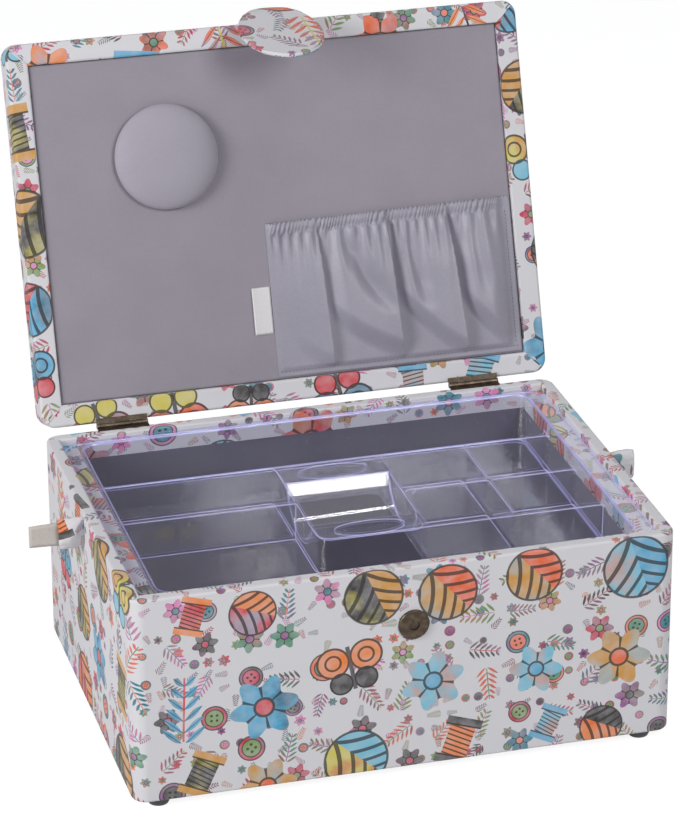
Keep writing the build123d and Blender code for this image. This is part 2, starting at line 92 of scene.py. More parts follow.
# %% [markdown]
# ## One way to add nodes
# A material is a small graph. Linking nodes by hand in Python takes three lines each, so one helper adds a
# node, sets it, fills or links its inputs and hands back an output. Colours are written as sRGB hex, as a
# colour picker shows them, and turned to linear light in one place.

# %% Node helper and colours
def linear(colour):
    """An sRGB hex colour as linear red, green, blue and alpha."""
    shares = [int(colour[place:place + 2], 16) / 255 for place in (1, 3, 5)]
    return [c / 12.92 if c <= 0.04045 else ((c + 0.055) / 1.055) ** 2.4 for c in shares] + [1.0]


def add(tree, kind, inputs=(), out=0, **settings):
    """Add the node named by kind, such as "Math ADD", fill or link its inputs and return one output."""
    name, _, operation = kind.partition(" ")
    node = tree.nodes.new("ShaderNode" + name)
    if operation:
        node.operation = operation
    for setting, value in settings.items():
        setattr(node, setting, value)
    for socket, value in inputs.items() if isinstance(inputs, dict) else enumerate(inputs):
        if isinstance(value, bpy.types.NodeSocket):
            tree.links.new(value, node.inputs[socket])
        else:
            node.inputs[socket].default_value = value
    return node.outputs[out] if node.outputs else None


def new_finish(name):
    """An empty node material and its tree."""
    finish = bpy.data.materials.new(name)
    finish.use_nodes = True
    finish.node_tree.nodes.clear()
    return finish, finish.node_tree


print("linear mid grey", round(linear("#808080")[0], 3))

# %% [markdown]
# ## Floor, world and lamps
# The box stands on white paper in a studio. More light would bleach the cloth, so the paper is made white
# for the eye alone: camera, mirror and glass rays see it glow, and it still takes a soft shadow.
# Two softboxes stand in front, right and left, so that the walls shade the inside. A narrow strip hangs
# above and gives the clear tray its bright reflections, and a dim world fills the rest.

# %% Floor, world and lamps
def seen_directly(tree):
    """One for rays from the camera, from a mirror or through glass."""
    path = add(tree, "LightPath", out="Is Camera Ray").node
    mirror = add(tree, "Math MAXIMUM", [path.outputs["Is Camera Ray"], path.outputs["Is Glossy Ray"]])
    return add(tree, "Math MAXIMUM", [mirror, path.outputs["Is Transmission Ray"]])


paper, tree = new_finish("white_backdrop_paper")
lit = add(tree, "BsdfDiffuse", {"Color": linear("#8A8A8A")})
glow = add(tree, "Emission", {"Color": linear("#FFFFFF"), "Strength": 0.88})
shadowed = add(tree, "AddShader", [lit, glow])
plain = add(tree, "BsdfDiffuse", {"Color": linear("#D8D8D8")})
add(tree, "OutputMaterial", [add(tree, "MixShader", [seen_directly(tree), plain, shadowed])])

FLOOR_REACH, LAMP_AIM = 6.0, Vector((0, 0, 0.18))
bm = bmesh.new()
bmesh.ops.create_grid(bm, x_segments=1, y_segments=1, size=FLOOR_REACH)
floor_mesh = bpy.data.meshes.new("floor")
bm.to_mesh(floor_mesh)
bm.free()
floor = bpy.data.objects.new("floor", floor_mesh)
floor_mesh.materials.append(paper)
scene.collection.objects.link(floor)

world = bpy.data.worlds.new("studio")
world.use_nodes = True
tree = world.node_tree
tree.nodes.clear()
fill = add(tree, "Background", {"Color": linear("#F4F6FA"), "Strength": 0.24})
white = add(tree, "Background", {"Color": linear("#FFFFFF"), "Strength": 1.0})
add(tree, "OutputWorld", [add(tree, "MixShader", [seen_directly(tree), fill, white])])
scene.world = world

# name, place, size in metres and watts
for name, place, size, power in (("right_softbox", (0.75, -1.75, 1.45), (0.8, 0.8), 22.0),
                                 ("left_softbox", (-1.90, -0.75, 1.00), (0.9, 0.9), 34.0),
                                 ("top_strip", (0.35, 0.30, 1.75), (0.6, 0.04), 2.8)):
    lamp = bpy.data.lights.new(name, "AREA")
    lamp.shape, lamp.energy = "RECTANGLE", power
    lamp.size, lamp.size_y = size
    softbox = bpy.data.objects.new(name, lamp)
    softbox.location = place
    softbox.rotation_euler = (LAMP_AIM - Vector(place)).to_track_quat("-Z", "Y").to_euler()
    scene.collection.objects.link(softbox)
print("floor, world, 2 softboxes and a strip")

# %% [markdown]
# ## The printed cotton
# The carcass is wrapped in a cotton with a lively watercolour print. The print is drawn by nodes: a Voronoi
# texture scatters cells over the cloth, gives each a centre, some random numbers and the radius that is
# free around it, and every cell paints one motif - a bloom, a leaf sprig, a ball of yarn, a button, a
# reel of thread or a butterfly. Finer layers fill the ground between. It follows the cloth's own UV map, in
# metres, and inside a motif every length is a share of that free radius.

# %% Motifs of the print
INK, GROUND = "#34302F", "#CDCCD0"
BOLD = ("#DE5F28", "#4BA0C6", "#33302F", "#C9BC49", "#C7353F", "#C68F3C", "#6FB4CC", "#E0803C")
FINE = ("#D375AC", "#4F8568", "#C02E4E", "#2E7C8A", "#8E4F88", "#74904F", "#DD7052", "#474443")


def scatter(tree, cloth, pitch, shift, turn):
    """Cells of one layer: the place in a cell (1 at its free radius) and two of its random numbers."""
    moved = add(tree, "VectorMath ADD", [cloth, shift])
    place = add(tree, "VectorMath SCALE", {0: moved, "Scale": 1 / pitch})
    cell = {"Vector": place, "Scale": 1.0, "Randomness": 0.42}
    centre = add(tree, "TexVoronoi", cell, "Position", voronoi_dimensions="2D", feature="F1")
    room = add(tree, "TexVoronoi", cell, "Radius", voronoi_dimensions="2D", feature="N_SPHERE_RADIUS")
    chance = add(tree, "SeparateColor", [centre.node.outputs["Color"]]).node
    offset = add(tree, "VectorMath SUBTRACT", [place, centre])
    share = add(tree, "Math DIVIDE", [1.0, room])
    near = add(tree, "VectorMath SCALE", {0: offset, "Scale": share})
    angle = add(tree, "Math MULTIPLY_ADD", [chance.outputs["Red"], turn, -turn / 2])
    near = add(tree, "VectorRotate", {"Vector": near, "Angle": angle}, rotation_type="Z_AXIS")
    return near, chance.outputs["Green"], chance.outputs["Blue"]


def bloom(tree, x, y, r, angle):
    """An open flower: six round petals, lines between them and a seeded eye."""
    wave = add(tree, "Math COSINE", [add(tree, "Math MULTIPLY", [angle, 6.0])])
    edge = add(tree, "Math MULTIPLY_ADD", [wave, 0.15, 0.72])
    paint = add(tree, "Math LESS_THAN", [r, edge])
    between = add(tree, "Math LESS_THAN", [wave, -0.90])
    outside_eye = add(tree, "Math GREATER_THAN", [r, 0.24])
    lines = add(tree, "Math MULTIPLY", [between, add(tree, "Math MULTIPLY", [paint, outside_eye])])
    ring = add(tree, "Math COMPARE", [r, 0.24, 0.035])
    return paint, add(tree, "Math MAXIMUM", [lines, ring]), add(tree, "Math LESS_THAN", [r, 0.21])


def sprig(tree, x, y, r, angle):
    """A stem with pairs of slanting leaves that grow shorter towards its tip."""
    side = add(tree, "Math ABSOLUTE", [x])
    slant = add(tree, "Math MULTIPLY_ADD", [side, -0.85, y])
    row = add(tree, "Math WRAP", [slant, 0.17, -0.17])
    reach = add(tree, "Math MULTIPLY_ADD", [y, -0.20, 0.50])
    along = add(tree, "Math DIVIDE", [side, reach])
    full = add(tree, "Math SINE", [add(tree, "Math MULTIPLY", [along, math.pi])])
    leaf = add(tree, "Math LESS_THAN", [add(tree, "Math ABSOLUTE", [row]),
                                        add(tree, "Math MULTIPLY", [full, 0.105])])
    inside = add(tree, "Math MULTIPLY", [add(tree, "Math LESS_THAN", [along, 1.0]),
                                         add(tree, "Math LESS_THAN", [r, 0.96])])
    leaf = add(tree, "Math MULTIPLY", [leaf, inside])
    stem = add(tree, "Math MULTIPLY", [add(tree, "Math LESS_THAN", [side, 0.028]),
                                       add(tree, "Math LESS_THAN", [add(tree, "Math ABSOLUTE", [y]), 0.92])])
    vein = add(tree, "Math MULTIPLY", [leaf, add(tree, "Math COMPARE", [row, 0.0, 0.012])])
    return add(tree, "Math MAXIMUM", [leaf, stem]), vein, stem


def yarn_ball(tree, x, y, r, angle):
    """A ball of yarn: strands wound in two directions inside a round outline."""
    paint = add(tree, "Math LESS_THAN", [r, 0.78])
    bulge = add(tree, "Math MULTIPLY", [r, r])
    first = add(tree, "Math MULTIPLY_ADD", [bulge, 4.0, add(tree, "Math MULTIPLY", [x, 21.0])])
    second = add(tree, "Math MULTIPLY_ADD", [bulge, -4.0, add(tree, "Math MULTIPLY", [y, 23.0])])
    half = add(tree, "Math GREATER_THAN", [add(tree, "Math ADD", [x, y]), 0.12])
    wound = add(tree, "Mix", {"Factor": half, 2: first, 3: second}, data_type="FLOAT")
    strand = add(tree, "Math LESS_THAN", [add(tree, "Math SINE", [wound]), -0.55])
    rim = add(tree, "Math COMPARE", [r, 0.78, 0.03])
    ink = add(tree, "Math MAXIMUM", [rim, add(tree, "Math MULTIPLY", [strand, paint])])
    return paint, ink, add(tree, "Math MULTIPLY", [half, paint])


def button(tree, x, y, r, angle):
    """A button: a raised rim and four holes."""
    paint = add(tree, "Math LESS_THAN", [r, 0.70])
    rims = add(tree, "Math MAXIMUM", [add(tree, "Math COMPARE", [r, 0.70, 0.035]),
                                      add(tree, "Math COMPARE", [r, 0.50, 0.03])])
    fold_x = add(tree, "Math SUBTRACT", [add(tree, "Math ABSOLUTE", [x]), 0.15])
    fold_y = add(tree, "Math SUBTRACT", [add(tree, "Math ABSOLUTE", [y]), 0.15])
    hole = add(tree, "Math ADD", [add(tree, "Math MULTIPLY", [fold_x, fold_x]),
                                  add(tree, "Math MULTIPLY", [fold_y, fold_y])])
    holes = add(tree, "Math LESS_THAN", [hole, 0.0062])
    return paint, add(tree, "Math MAXIMUM", [rims, holes]), add(tree, "Math LESS_THAN", [r, 0.50])


def reel(tree, x, y, r, angle):
    """A reel of thread: two wooden flanges and a wound waist between them."""
    side, rise = add(tree, "Math ABSOLUTE", [x]), add(tree, "Math ABSOLUTE", [y])
    waist = add(tree, "Math MULTIPLY", [add(tree, "Math LESS_THAN", [side, 0.36]),
                                        add(tree, "Math LESS_THAN", [rise, 0.46])])
    flange = add(tree, "Math MULTIPLY", [add(tree, "Math LESS_THAN", [side, 0.50]),
                                         add(tree, "Math COMPARE", [rise, 0.56, 0.12])])
    turns = add(tree, "Math MULTIPLY_ADD", [y, 46.0, add(tree, "Math MULTIPLY", [x, 8.0])])
    wound = add(tree, "Math LESS_THAN", [add(tree, "Math SINE", [turns]), -0.5])
    joint = add(tree, "Math MULTIPLY", [add(tree, "Math LESS_THAN", [side, 0.50]),
                                        add(tree, "Math COMPARE", [rise, 0.45, 0.025])])
    ink = add(tree, "Math MAXIMUM", [joint, add(tree, "Math MULTIPLY", [wound, waist])])
    return add(tree, "Math MAXIMUM", [waist, flange]), ink, flange


def butterfly(tree, x, y, r, angle):
    """A butterfly: two pairs of round wings, spots on the upper ones and a slim body."""
    side = add(tree, "Math ABSOLUTE", [x])
    place = add(tree, "CombineXYZ", [side, y])
    upper = add(tree, "VectorMath DISTANCE", [place, (0.44, 0.26, 0)], "Value")
    lower = add(tree, "VectorMath DISTANCE", [place, (0.33, -0.38, 0)], "Value")
    wing, tail = add(tree, "Math LESS_THAN", [upper, 0.43]), add(tree, "Math LESS_THAN", [lower, 0.31])
    body = add(tree, "Math MULTIPLY", [add(tree, "Math LESS_THAN", [side, 0.055]),
                                       add(tree, "Math LESS_THAN", [add(tree, "Math ABSOLUTE", [y]), 0.62])])
    rims = add(tree, "Math MAXIMUM", [add(tree, "Math COMPARE", [upper, 0.41, 0.03]),
                                      add(tree, "Math COMPARE", [lower, 0.29, 0.025])])
    spots = add(tree, "Math COMPARE", [upper, 0.20, 0.03])
    ink = add(tree, "Math MAXIMUM", [body, add(tree, "Math MAXIMUM", [rims, spots])])
    return add(tree, "Math MAXIMUM", [wing, tail]), ink, tail


print("motifs: bloom, sprig, yarn ball, button, reel, butterfly in", len(BOLD) + len(FINE), "colours")

# %% [markdown]
# ## Painting the cloth
# A layer shows one motif in each cell, by a random number of the cell, in two colours of the palette.
# Watercolour is never even: it pools, fades and lets the cloth through, so a noise a few millimetres wide
# thins the paint. The cotton itself is a plain weave of about 0.4 mm threads, drawn as 0.9 mm here because
# finer threads vanish at this distance; it gives the eye a matt, slightly broken surface.

# %% Printed cotton
def painted_layer(tree, layer, palette, shares, bleed):
    """Paint, ink and colour of one scatter layer; shares gives each motif its part of the cells."""
    near, kind, hue = layer
    axes = add(tree, "SeparateXYZ", [near]).node
    x, y = axes.outputs["X"], axes.outputs["Y"]
    r = add(tree, "VectorMath LENGTH", [near], "Value")
    angle = add(tree, "Math ARCTAN2", [y, x])
    paint, ink, accent, low = None, None, None, 0.0
    for motif, share in shares:
        chosen = add(tree, "Math COMPARE", [kind, low + share / 2, share / 2])
        low += share
        masks = [add(tree, "Math MULTIPLY", [chosen, mask]) for mask in motif(tree, x, y, r, angle)]
        if paint is None:
            paint, ink, accent = masks
        else:
            paint, ink, accent = (add(tree, "Math MAXIMUM", pair)
                                  for pair in zip((paint, ink, accent), masks))
    # three picks from the palette: the body, the accent, and what bleeds into the body
    colours = []
    for slip in (0.0, 0.37, 0.13):
        pick = add(tree, "Math FRACT", [add(tree, "Math ADD", [hue, slip])])
        ramp = add(tree, "ValToRGB", [pick]).node
        ramp.color_ramp.interpolation = "CONSTANT"
        stops = ramp.color_ramp.elements
        while len(stops) < len(palette):
            stops.new(len(stops) / len(palette))
        for place, (stop, colour) in enumerate(zip(stops, palette)):
            stop.position, stop.color = place / len(palette), linear(colour)
        colours.append(ramp.outputs["Color"])
    bled = add(tree, "Mix", {0: bleed, 6: colours[0], 7: colours[2]}, 2, data_type="RGBA")
    colour = add(tree, "Mix", {0: accent, 6: bled, 7: colours[1]}, 2, data_type="RGBA")
    return paint, ink, colour


WAVE = 0.314  # a Wave texture of scale 1 repeats after this length
COTTON_THREAD = 0.9 * MM
cotton, tree = new_finish("printed_cotton")
cloth = add(tree, "UVMap", uv_map="cloth")
# from the finest layer, painted first, to the boldest on top: pitch, shift, turn, palette and motifs
layers = ((9 * MM, (0.003, 0.005, 0), 6.2, FINE, ((button, 0.10), (bloom, 0.10), (sprig, 0.25))),
          (23 * MM, (0.007, 0.002, 0), 6.2, FINE, ((sprig, 0.48), (button, 0.12), (bloom, 0.36))),
          (52 * MM, (-0.012, 0.001, 0), 0.9, BOLD,
           ((bloom, 0.20), (sprig, 0.12), (yarn_ball, 0.24), (reel, 0.24), (butterfly, 0.20))))
wash = add(tree, "TexNoise", {"Vector": cloth, "Scale": 1 / (9 * MM), "Detail": 3.0})
thin = add(tree, "MapRange", [wash, 0.30, 0.72, 0.66, 1.0])
spread = add(tree, "TexNoise", {"Vector": cloth, "Scale": 1 / (17 * MM), "Detail": 4.0})
bleed = add(tree, "MapRange", [spread, 0.46, 0.62, 0.0, 0.55])
colour = linear(GROUND)
for pitch, shift, turn, palette, shares in layers:
    paint, ink, shade = painted_layer(tree, scatter(tree, cloth, pitch, shift, turn), palette, shares, bleed)
    washed = add(tree, "Mix", {0: thin, 6: linear(GROUND), 7: shade}, 2, data_type="RGBA")
    colour = add(tree, "Mix", {0: paint, 6: colour, 7: washed}, 2, data_type="RGBA")
    drawn = add(tree, "Math MULTIPLY", [ink, 0.85])
    colour = add(tree, "Mix", {0: drawn, 6: colour, 7: linear(INK)}, 2, data_type="RGBA")

warp = add(tree, "TexWave", {"Vector": cloth, "Scale": WAVE / COTTON_THREAD}, "Fac", bands_direction="X")
weft = add(tree, "TexWave", {"Vector": cloth, "Scale": WAVE / COTTON_THREAD}, "Fac", bands_direction="Y")
weave = add(tree, "Math MULTIPLY", [warp, weft])
slack = add(tree, "TexNoise", {"Vector": cloth, "Scale": 1 / (45 * MM), "Detail": 2.0})
relief = add(tree, "Math MULTIPLY_ADD", [slack, 6.0, weave])
bump = add(tree, "Bump", {"Strength": 0.25, "Distance": 0.15 * MM, "Height": relief})
skin = add(tree, "BsdfPrincipled", {"Base Color": colour, "Roughness": 0.82, "Sheen Weight": 0.15,
                                    "Sheen Roughness": 0.5, "Specular IOR Level": 0.3, "Normal": bump})
add(tree, "OutputMaterial", [skin])
print("printed cotton:", len(tree.nodes), "nodes")

# %% [markdown]
# ## Lining, satin, webbing and label
# The lining is a grey polycotton in a plain weave, the pocket a softer satin of the same dye, and the strap
# ends a ribbed tape. They share one recipe - threads crossing, a slow change of shade, a little sheen - with
# their own colour, thread and gloss, so one function makes them all and the pattern reads each piece's
# Object coordinates, which need no unwrapping.

# %% Plain cloths
def woven(name, shade, light_shade, thread, roughness, sheen, depth):
    """A woven cloth: crossing threads, slow changes of shade and a soft sheen."""
    finish, tree = new_finish(name)
    where = add(tree, "TexCoord", out="Object")
    threads = [add(tree, "TexWave", {"Vector": where, "Scale": WAVE / thread, "Distortion": 0.6},
                   "Fac", bands_direction=run) for run in ("X", "Z")]
    weave = add(tree, "Math MULTIPLY", threads)
    slow = add(tree, "TexNoise", {"Vector": where, "Scale": 1 / (38 * MM), "Detail": 3.0})
    slub = add(tree, "TexNoise", {"Vector": where, "Scale": 1 / (1.6 * MM), "Detail": 2.0})
    mixed = add(tree, "Math MULTIPLY_ADD", [slub, 0.35, add(tree, "Math MULTIPLY", [slow, 0.65])])
    mixed = add(tree, "MapRange", [mixed, 0.35, 0.65, 0.0, 1.0])
    colour = add(tree, "Mix", {0: mixed, 6: linear(shade), 7: linear(light_shade)}, 2, data_type="RGBA")
    bump = add(tree, "Bump", {"Strength": 0.3, "Distance": depth, "Height": weave})
    skin = add(tree, "BsdfPrincipled", {"Base Color": colour, "Roughness": roughness, "Sheen Weight": sheen,
                                        "Sheen Roughness": 0.45, "Specular IOR Level": 0.35, "Normal": bump})
    add(tree, "OutputMaterial", [skin])
    return finish


# name, two shades, thread, roughness, sheen and depth of the weave
lining_cloth = woven("grey_polycotton_lining", "#8D8791", "#938D97", 0.9 * MM, 0.78, 0.18, 0.10 * MM)
# the box's inner lining is the lid's lining made darker: painted shade for the inside of the box
box_lining_painted_shade = woven("grey_polycotton_lining_painted_shade", "#5C5964", "#63606B", 0.9 * MM, 0.8, 0.12, 0.10 * MM)
satin_cloth = woven("grey_woven_satin", "#8E8B97", "#9794A0", 0.7 * MM, 0.40, 0.25, 0.05 * MM)
cushion_cloth = woven("grey_polycotton_cushion", "#99949F", "#9F9AA5", 0.9 * MM, 0.76, 0.2, 0.10 * MM)
strap_tape = woven("ribbed_cotton_tape", "#B3ADA8", "#C2BCB7", 1.2 * MM, 0.8, 0.2, 0.2 * MM)
label_satin = woven("white_woven_label", "#CFCDCF", "#D9D7D8", 0.6 * MM, 0.6, 0.2, 0.05 * MM)
thread = woven("dark_polyester_thread", "#5E5A66", "#6B6772", 0.4 * MM, 0.5, 0.1, 0.05 * MM)
print("seven plain cloths")

# %% [markdown]
# ## Clear tray, bronze, rubber and board
# The tray is injection-moulded clear polystyrene, IOR 1.59. Its walls are too thin to bend what is behind
# them, so they nearly vanish and mirror only at a glancing angle. Its edges gather light and look lilac, and
# that light is painted: the edges and lip get a lilac body with a painted glow. Full glass would turn those
# edges black, so a clear film is mixed with a glossy body. The snap and hinges are brass with a dark bronze
# plating that has rubbed to brighter metal in places, the feet are moulded rubber, and the carcass is grey
# board, which shows its fibres wherever it isn't covered.

# %% Hard materials
MIRROR_SQUARE_ON = 0.045


def clear_plastic(name, body, least, most, glow):
    """Clear moulded plastic in thin walls; its body shows least square on and most edge on; glow is a
    painted glow.
    """
    finish, tree = new_finish(name)
    where = add(tree, "TexCoord", out="Object")
    flow = add(tree, "TexNoise", {"Vector": where, "Scale": 1 / (14 * MM), "Detail": 2.0})
    waver = add(tree, "Bump", {"Strength": 0.2, "Distance": 0.25 * MM, "Height": flow})
    turned_away = add(tree, "LayerWeight", {"Blend": 0.5, "Normal": waver}, "Facing")
    glance = add(tree, "Math POWER", [turned_away, 6.0])
    mirror = add(tree, "MapRange", [glance, 0.0, 1.0, MIRROR_SQUARE_ON, 1.0])
    steep = add(tree, "Math POWER", [turned_away, 4.0])
    shown = add(tree, "MapRange", [steep, 0.0, 1.0, least, most])
    through = add(tree, "BsdfTransparent", {"Color": linear("#F8F8FB")})
    shine = add(tree, "BsdfGlossy", {"Color": linear("#FFFFFF"), "Roughness": 0.05, "Normal": waver})
    film = add(tree, "MixShader", [mirror, through, shine])
    # the solid's emission, set by glow, is a painted glow for the light that thin edges gather
    solid = add(tree, "BsdfPrincipled", {"Base Color": linear(body), "Roughness": 0.08, "IOR": 1.59,
                                         "Emission Color": linear(body), "Emission Strength": glow})
    seen = add(tree, "MixShader", [shown, film, solid])
    lamp_ray = add(tree, "LightPath", out="Is Shadow Ray")
    add(tree, "OutputMaterial", [add(tree, "MixShader", [lamp_ray, seen, through])])
    return finish


polystyrene = clear_plastic("moulded_clear_polystyrene", "#D4D4E4", 0.02, 0.25, 0.0)
# edges and lip: a lilac body with a painted glow, standing in for the light the edges gather
painted_glow_edge = clear_plastic("polystyrene_edge_painted_glow", "#BAB9F0", 0.50, 0.80, 0.30)
painted_glow_lip = clear_plastic("polystyrene_lip_painted_glow", "#A2A4DA", 0.44, 0.90, 0.15)

bronze, tree = new_finish("bronze_plated_brass")
where = add(tree, "TexCoord", out="Object")
rubbed = add(tree, "TexNoise", {"Vector": where, "Scale": 1 / (3.5 * MM), "Detail": 4.0})
patch = add(tree, "MapRange", [rubbed, 0.42, 0.66, 0.0, 1.0])
colour = add(tree, "Mix", {0: patch, 6: linear("#493F36"), 7: linear("#5E5247")}, 2, data_type="RGBA")
gloss = add(tree, "MapRange", [rubbed, 0.35, 0.7, 0.44, 0.26])
skin = add(tree, "BsdfPrincipled", {"Base Color": colour, "Metallic": 1.0, "Roughness": gloss})
add(tree, "OutputMaterial", [skin])

rubber, tree = new_finish("moulded_grey_rubber")
where = add(tree, "TexCoord", out="Object")
speck = add(tree, "TexNoise", {"Vector": where, "Scale": 1 / (0.8 * MM), "Detail": 2.0})
colour = add(tree, "Mix", {0: speck, 6: linear("#35353A"), 7: linear("#46464C")}, 2, data_type="RGBA")
bump = add(tree, "Bump", {"Strength": 0.2, "Distance": 0.1 * MM, "Height": speck})
skin = add(tree, "BsdfPrincipled", {"Base Color": colour, "Roughness": 0.62, "IOR": 1.52, "Normal": bump})
add(tree, "OutputMaterial", [skin])

grey_board, tree = new_finish("pressed_grey_board")
where = add(tree, "TexCoord", out="Object")
fibre = add(tree, "TexNoise", {"Vector": where, "Scale": 1 / (1.5 * MM), "Detail": 5.0, "Roughness": 0.7})
colour = add(tree, "Mix", {0: fibre, 6: linear("#8C867E"), 7: linear("#AAA49B")}, 2, data_type="RGBA")
bump = add(tree, "Bump", {"Strength": 0.2, "Distance": 0.1 * MM, "Height": fibre})
skin = add(tree, "BsdfPrincipled", {"Base Color": colour, "Roughness": 0.9, "Normal": bump})
add(tree, "OutputMaterial", [skin])
print("clear polystyrene, bronze plate, rubber, grey board")

# %% [markdown]
# ## Dress the CAD pieces that stay
# Rigid pieces keep their CAD meshes. Only their material slots change: board for the carcass, the lining
# cloth darkened with painted shade for the glued-in panels, bronze for the snap and hinges, rubber for the
# feet.

# %% CAD pieces that stay
for name, node in nodes.items():
    finish = grey_board
    if name.endswith("_lining"):
        # the darker copy of the lining is painted shade inside the box
        finish = box_lining_painted_shade
    elif name.endswith("_foot"):
        finish = rubber
    elif "snap" in name or "leaf" in name or name.endswith("_pin"):
        finish = bronze
    for slot in node.material_slots:
        slot.material = finish
print("dressed", len(nodes), "CAD pieces")

# %% [markdown]
# ## Helpers for new pieces
# Every new piece starts in a bmesh, gets a UV map in metres where its cloth carries the print, and ends as
# an object at the origin that rides on a CAD body. Edges sharper than a limit stay crisp, and a
# Weighted Normal modifier keeps large flat faces flat beside their small rounded edges.

# %% Helpers for new pieces
def new_piece(name, bm, finish, body=None, sharp=50.0, weighted=False):
    """Turn a bmesh into a smooth-shaded object with one finish, riding on a CAD body."""
    mesh = bpy.data.meshes.new(name)
    bm.to_mesh(mesh)
    bm.free()
    mesh.materials.append(finish)
    mesh.shade_smooth()
    mesh.set_sharp_from_angle(angle=math.radians(sharp))
    piece = bpy.data.objects.new(name, mesh)
    scene.collection.objects.link(piece)
    if weighted:
        piece.modifiers.new("flat_faces", "WEIGHTED_NORMAL").keep_sharp = True
    if body:
        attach(piece, body)
    return piece


def lay_cloth(bm, place):
    """Write the cloth UV map: place gives the spot on the cloth, in metres, for a face and a point."""
    layer = bm.loops.layers.uv.new("cloth")
    for face in bm.faces:
        middle = face.calc_center_median()
        for corner in face.loops:
            corner[layer].uv = place(face.normal, middle, corner.vert.co)


def block(low, high):
    """A bmesh cube between two corners."""
    low, high = Vector(low), Vector(high)
    bm = bmesh.new()
    size = Matrix.Diagonal((*(high - low), 1))
    bmesh.ops.create_cube(bm, size=1.0, matrix=Matrix.Translation((low + high) / 2) @ size)
    return bm


def round_edges(bm, edges, radius, segments):
    """Round some edges with the operator's defaults set as in the editor; returns the new faces."""
    return bmesh.ops.bevel(bm, geom=list(edges), offset=radius, offset_type="OFFSET", affect="EDGES",
                           segments=segments, profile=0.5, material=-1)["faces"]


def thicken(piece, thickness, offset=-1.0):
    """Give a sheet its thickness, by default behind its face."""
    cloth = piece.modifiers.new("thickness", "SOLIDIFY")
    cloth.thickness, cloth.offset = thickness, offset


def inset_flat(bm, side, width, radius):
    """Inset the large flat face on one side; past its corner radius the corners become square."""
    def flat():
        return max((f for f in bm.faces if f.normal.z * side > 0.95), key=lambda face: face.calc_area())

    least_radius, corner_reach = 0.1 * MM, 1.0 * MM
    first = min(width, radius - least_radius)
    bmesh.ops.inset_region(bm, faces=[flat()], thickness=first, use_even_offset=True, use_boundary=True)
    if width > first:
        verts = flat().verts[:]
        far_x, far_y, level = (max(v.co[axis] for v in verts) for axis in range(3))
        spots = [Vector((x, y, level)) for x in (-far_x, far_x) for y in (-far_y, far_y)]
        arcs = [[v for v in verts if (v.co - spot).length < corner_reach] for spot in spots]
        for spot, arc in zip(spots, arcs):
            bmesh.ops.pointmerge(bm, verts=arc, merge_co=spot)
        bmesh.ops.inset_region(bm, faces=[flat()], thickness=width - first, use_even_offset=True,
                               use_boundary=True)
    return flat()


print("helpers ready")

# %% [markdown]
# ## The wrapped case
# Box and lid are wrapped the same way: a strip of cotton runs round the walls, folds over the rim and is
# glued down inside. A cube with rounded uprights gives the walls. The mouth face is inset for the rim and
# pushed in for the turned-in hem, and the rim's edges are rounded as cloth over board. The box wears a strip
# that runs on round the corners, the lid one piece drawn down over its sides, so each has its own UV map.

# %% Wrapped case
TOUCH = 0.02 * MM


def wrapped_case(width, depth, height, corner, rim, hem, edge_closed, edge_rim, edge_inner):
    """Walls with round corners, z 0 at the closed face; the open rim is at z = height."""
    bm = block((-width / 2, -depth / 2, 0), (width / 2, depth / 2, height))
    uprights = [e for e in bm.edges if abs(e.verts[0].co.z - e.verts[1].co.z) > height / 2]
    round_edges(bm, uprights, corner, 8)
    mouth = inset_flat(bm, 1, rim, corner)
    made = bmesh.ops.extrude_face_region(bm, geom=[mouth])["geom"]
    bmesh.ops.translate(bm, verts=[v for v in made if isinstance(v, bmesh.types.BMVert)], vec=(0, 0, -hem))
    lids = [mouth] + [f for f in made if isinstance(f, bmesh.types.BMFace)]
    bmesh.ops.delete(bm, geom=lids, context="FACES")
    bmesh.ops.recalc_face_normals(bm, faces=bm.faces[:])

    def inward(point):
        """How far a point lies in from the outer walls."""
        over = Vector((abs(point.x) - width / 2 + corner, abs(point.y) - depth / 2 + corner))
        if min(over) > 0:
            return corner - over.length
        return min(width / 2 - abs(point.x), depth / 2 - abs(point.y))

    def at_level(edge, level):
        return all(abs(v.co.z - level) < TOUCH for v in edge.verts)

    def outline(level):
        return [e for e in bm.edges
                if at_level(e, level) and all(abs(inward(v.co)) < TOUCH for v in e.verts)]

    def at_mouth(vertex):
        return min(width / 2 - abs(vertex.co.x), depth / 2 - abs(vertex.co.y)) > rim - 1.5 * MM

    inner = [e for e in bm.edges if at_level(e, height) and all(at_mouth(v) for v in e.verts)
             and len(e.link_faces) == 2 and min(abs(f.normal.z) for f in e.link_faces) < 0.5]
    round_edges(bm, inner, edge_inner, 3)
    round_edges(bm, outline(height), edge_rim, 4)
    round_edges(bm, outline(0), edge_closed, 5)
    return bm, inward


def over_rim(point, inset, height, rim):
    """Length of cloth from the closed face's edge: up the wall, over the rim and down inside."""
    if inset > rim / 2:
        return 2 * height + inset - point.z
    return point.z + inset if point.z > height / 2 else point.z - inset


def strip_place(width, depth, height, corner, rim, inward):
    """A strip that runs round the walls; what lies under the bottom is a piece of its own."""
    cut = corner * (1 - math.sqrt(0.5))
    side_x, side_y = width / 2 - cut, depth / 2 - cut

    def place(normal, middle, point):
        if normal.z < -0.9:
            return point.x, point.y - depth
        if abs(middle.x) - width / 2 > abs(middle.y) - depth / 2:
            along = side_x + point.y + side_y if middle.x > 0 else -side_x - point.y - side_y
        else:
            along = point.x if middle.y < 0 else 2 * side_x + 2 * side_y - point.x
        return along, over_rim(point, inward(point), height, rim)

    return place


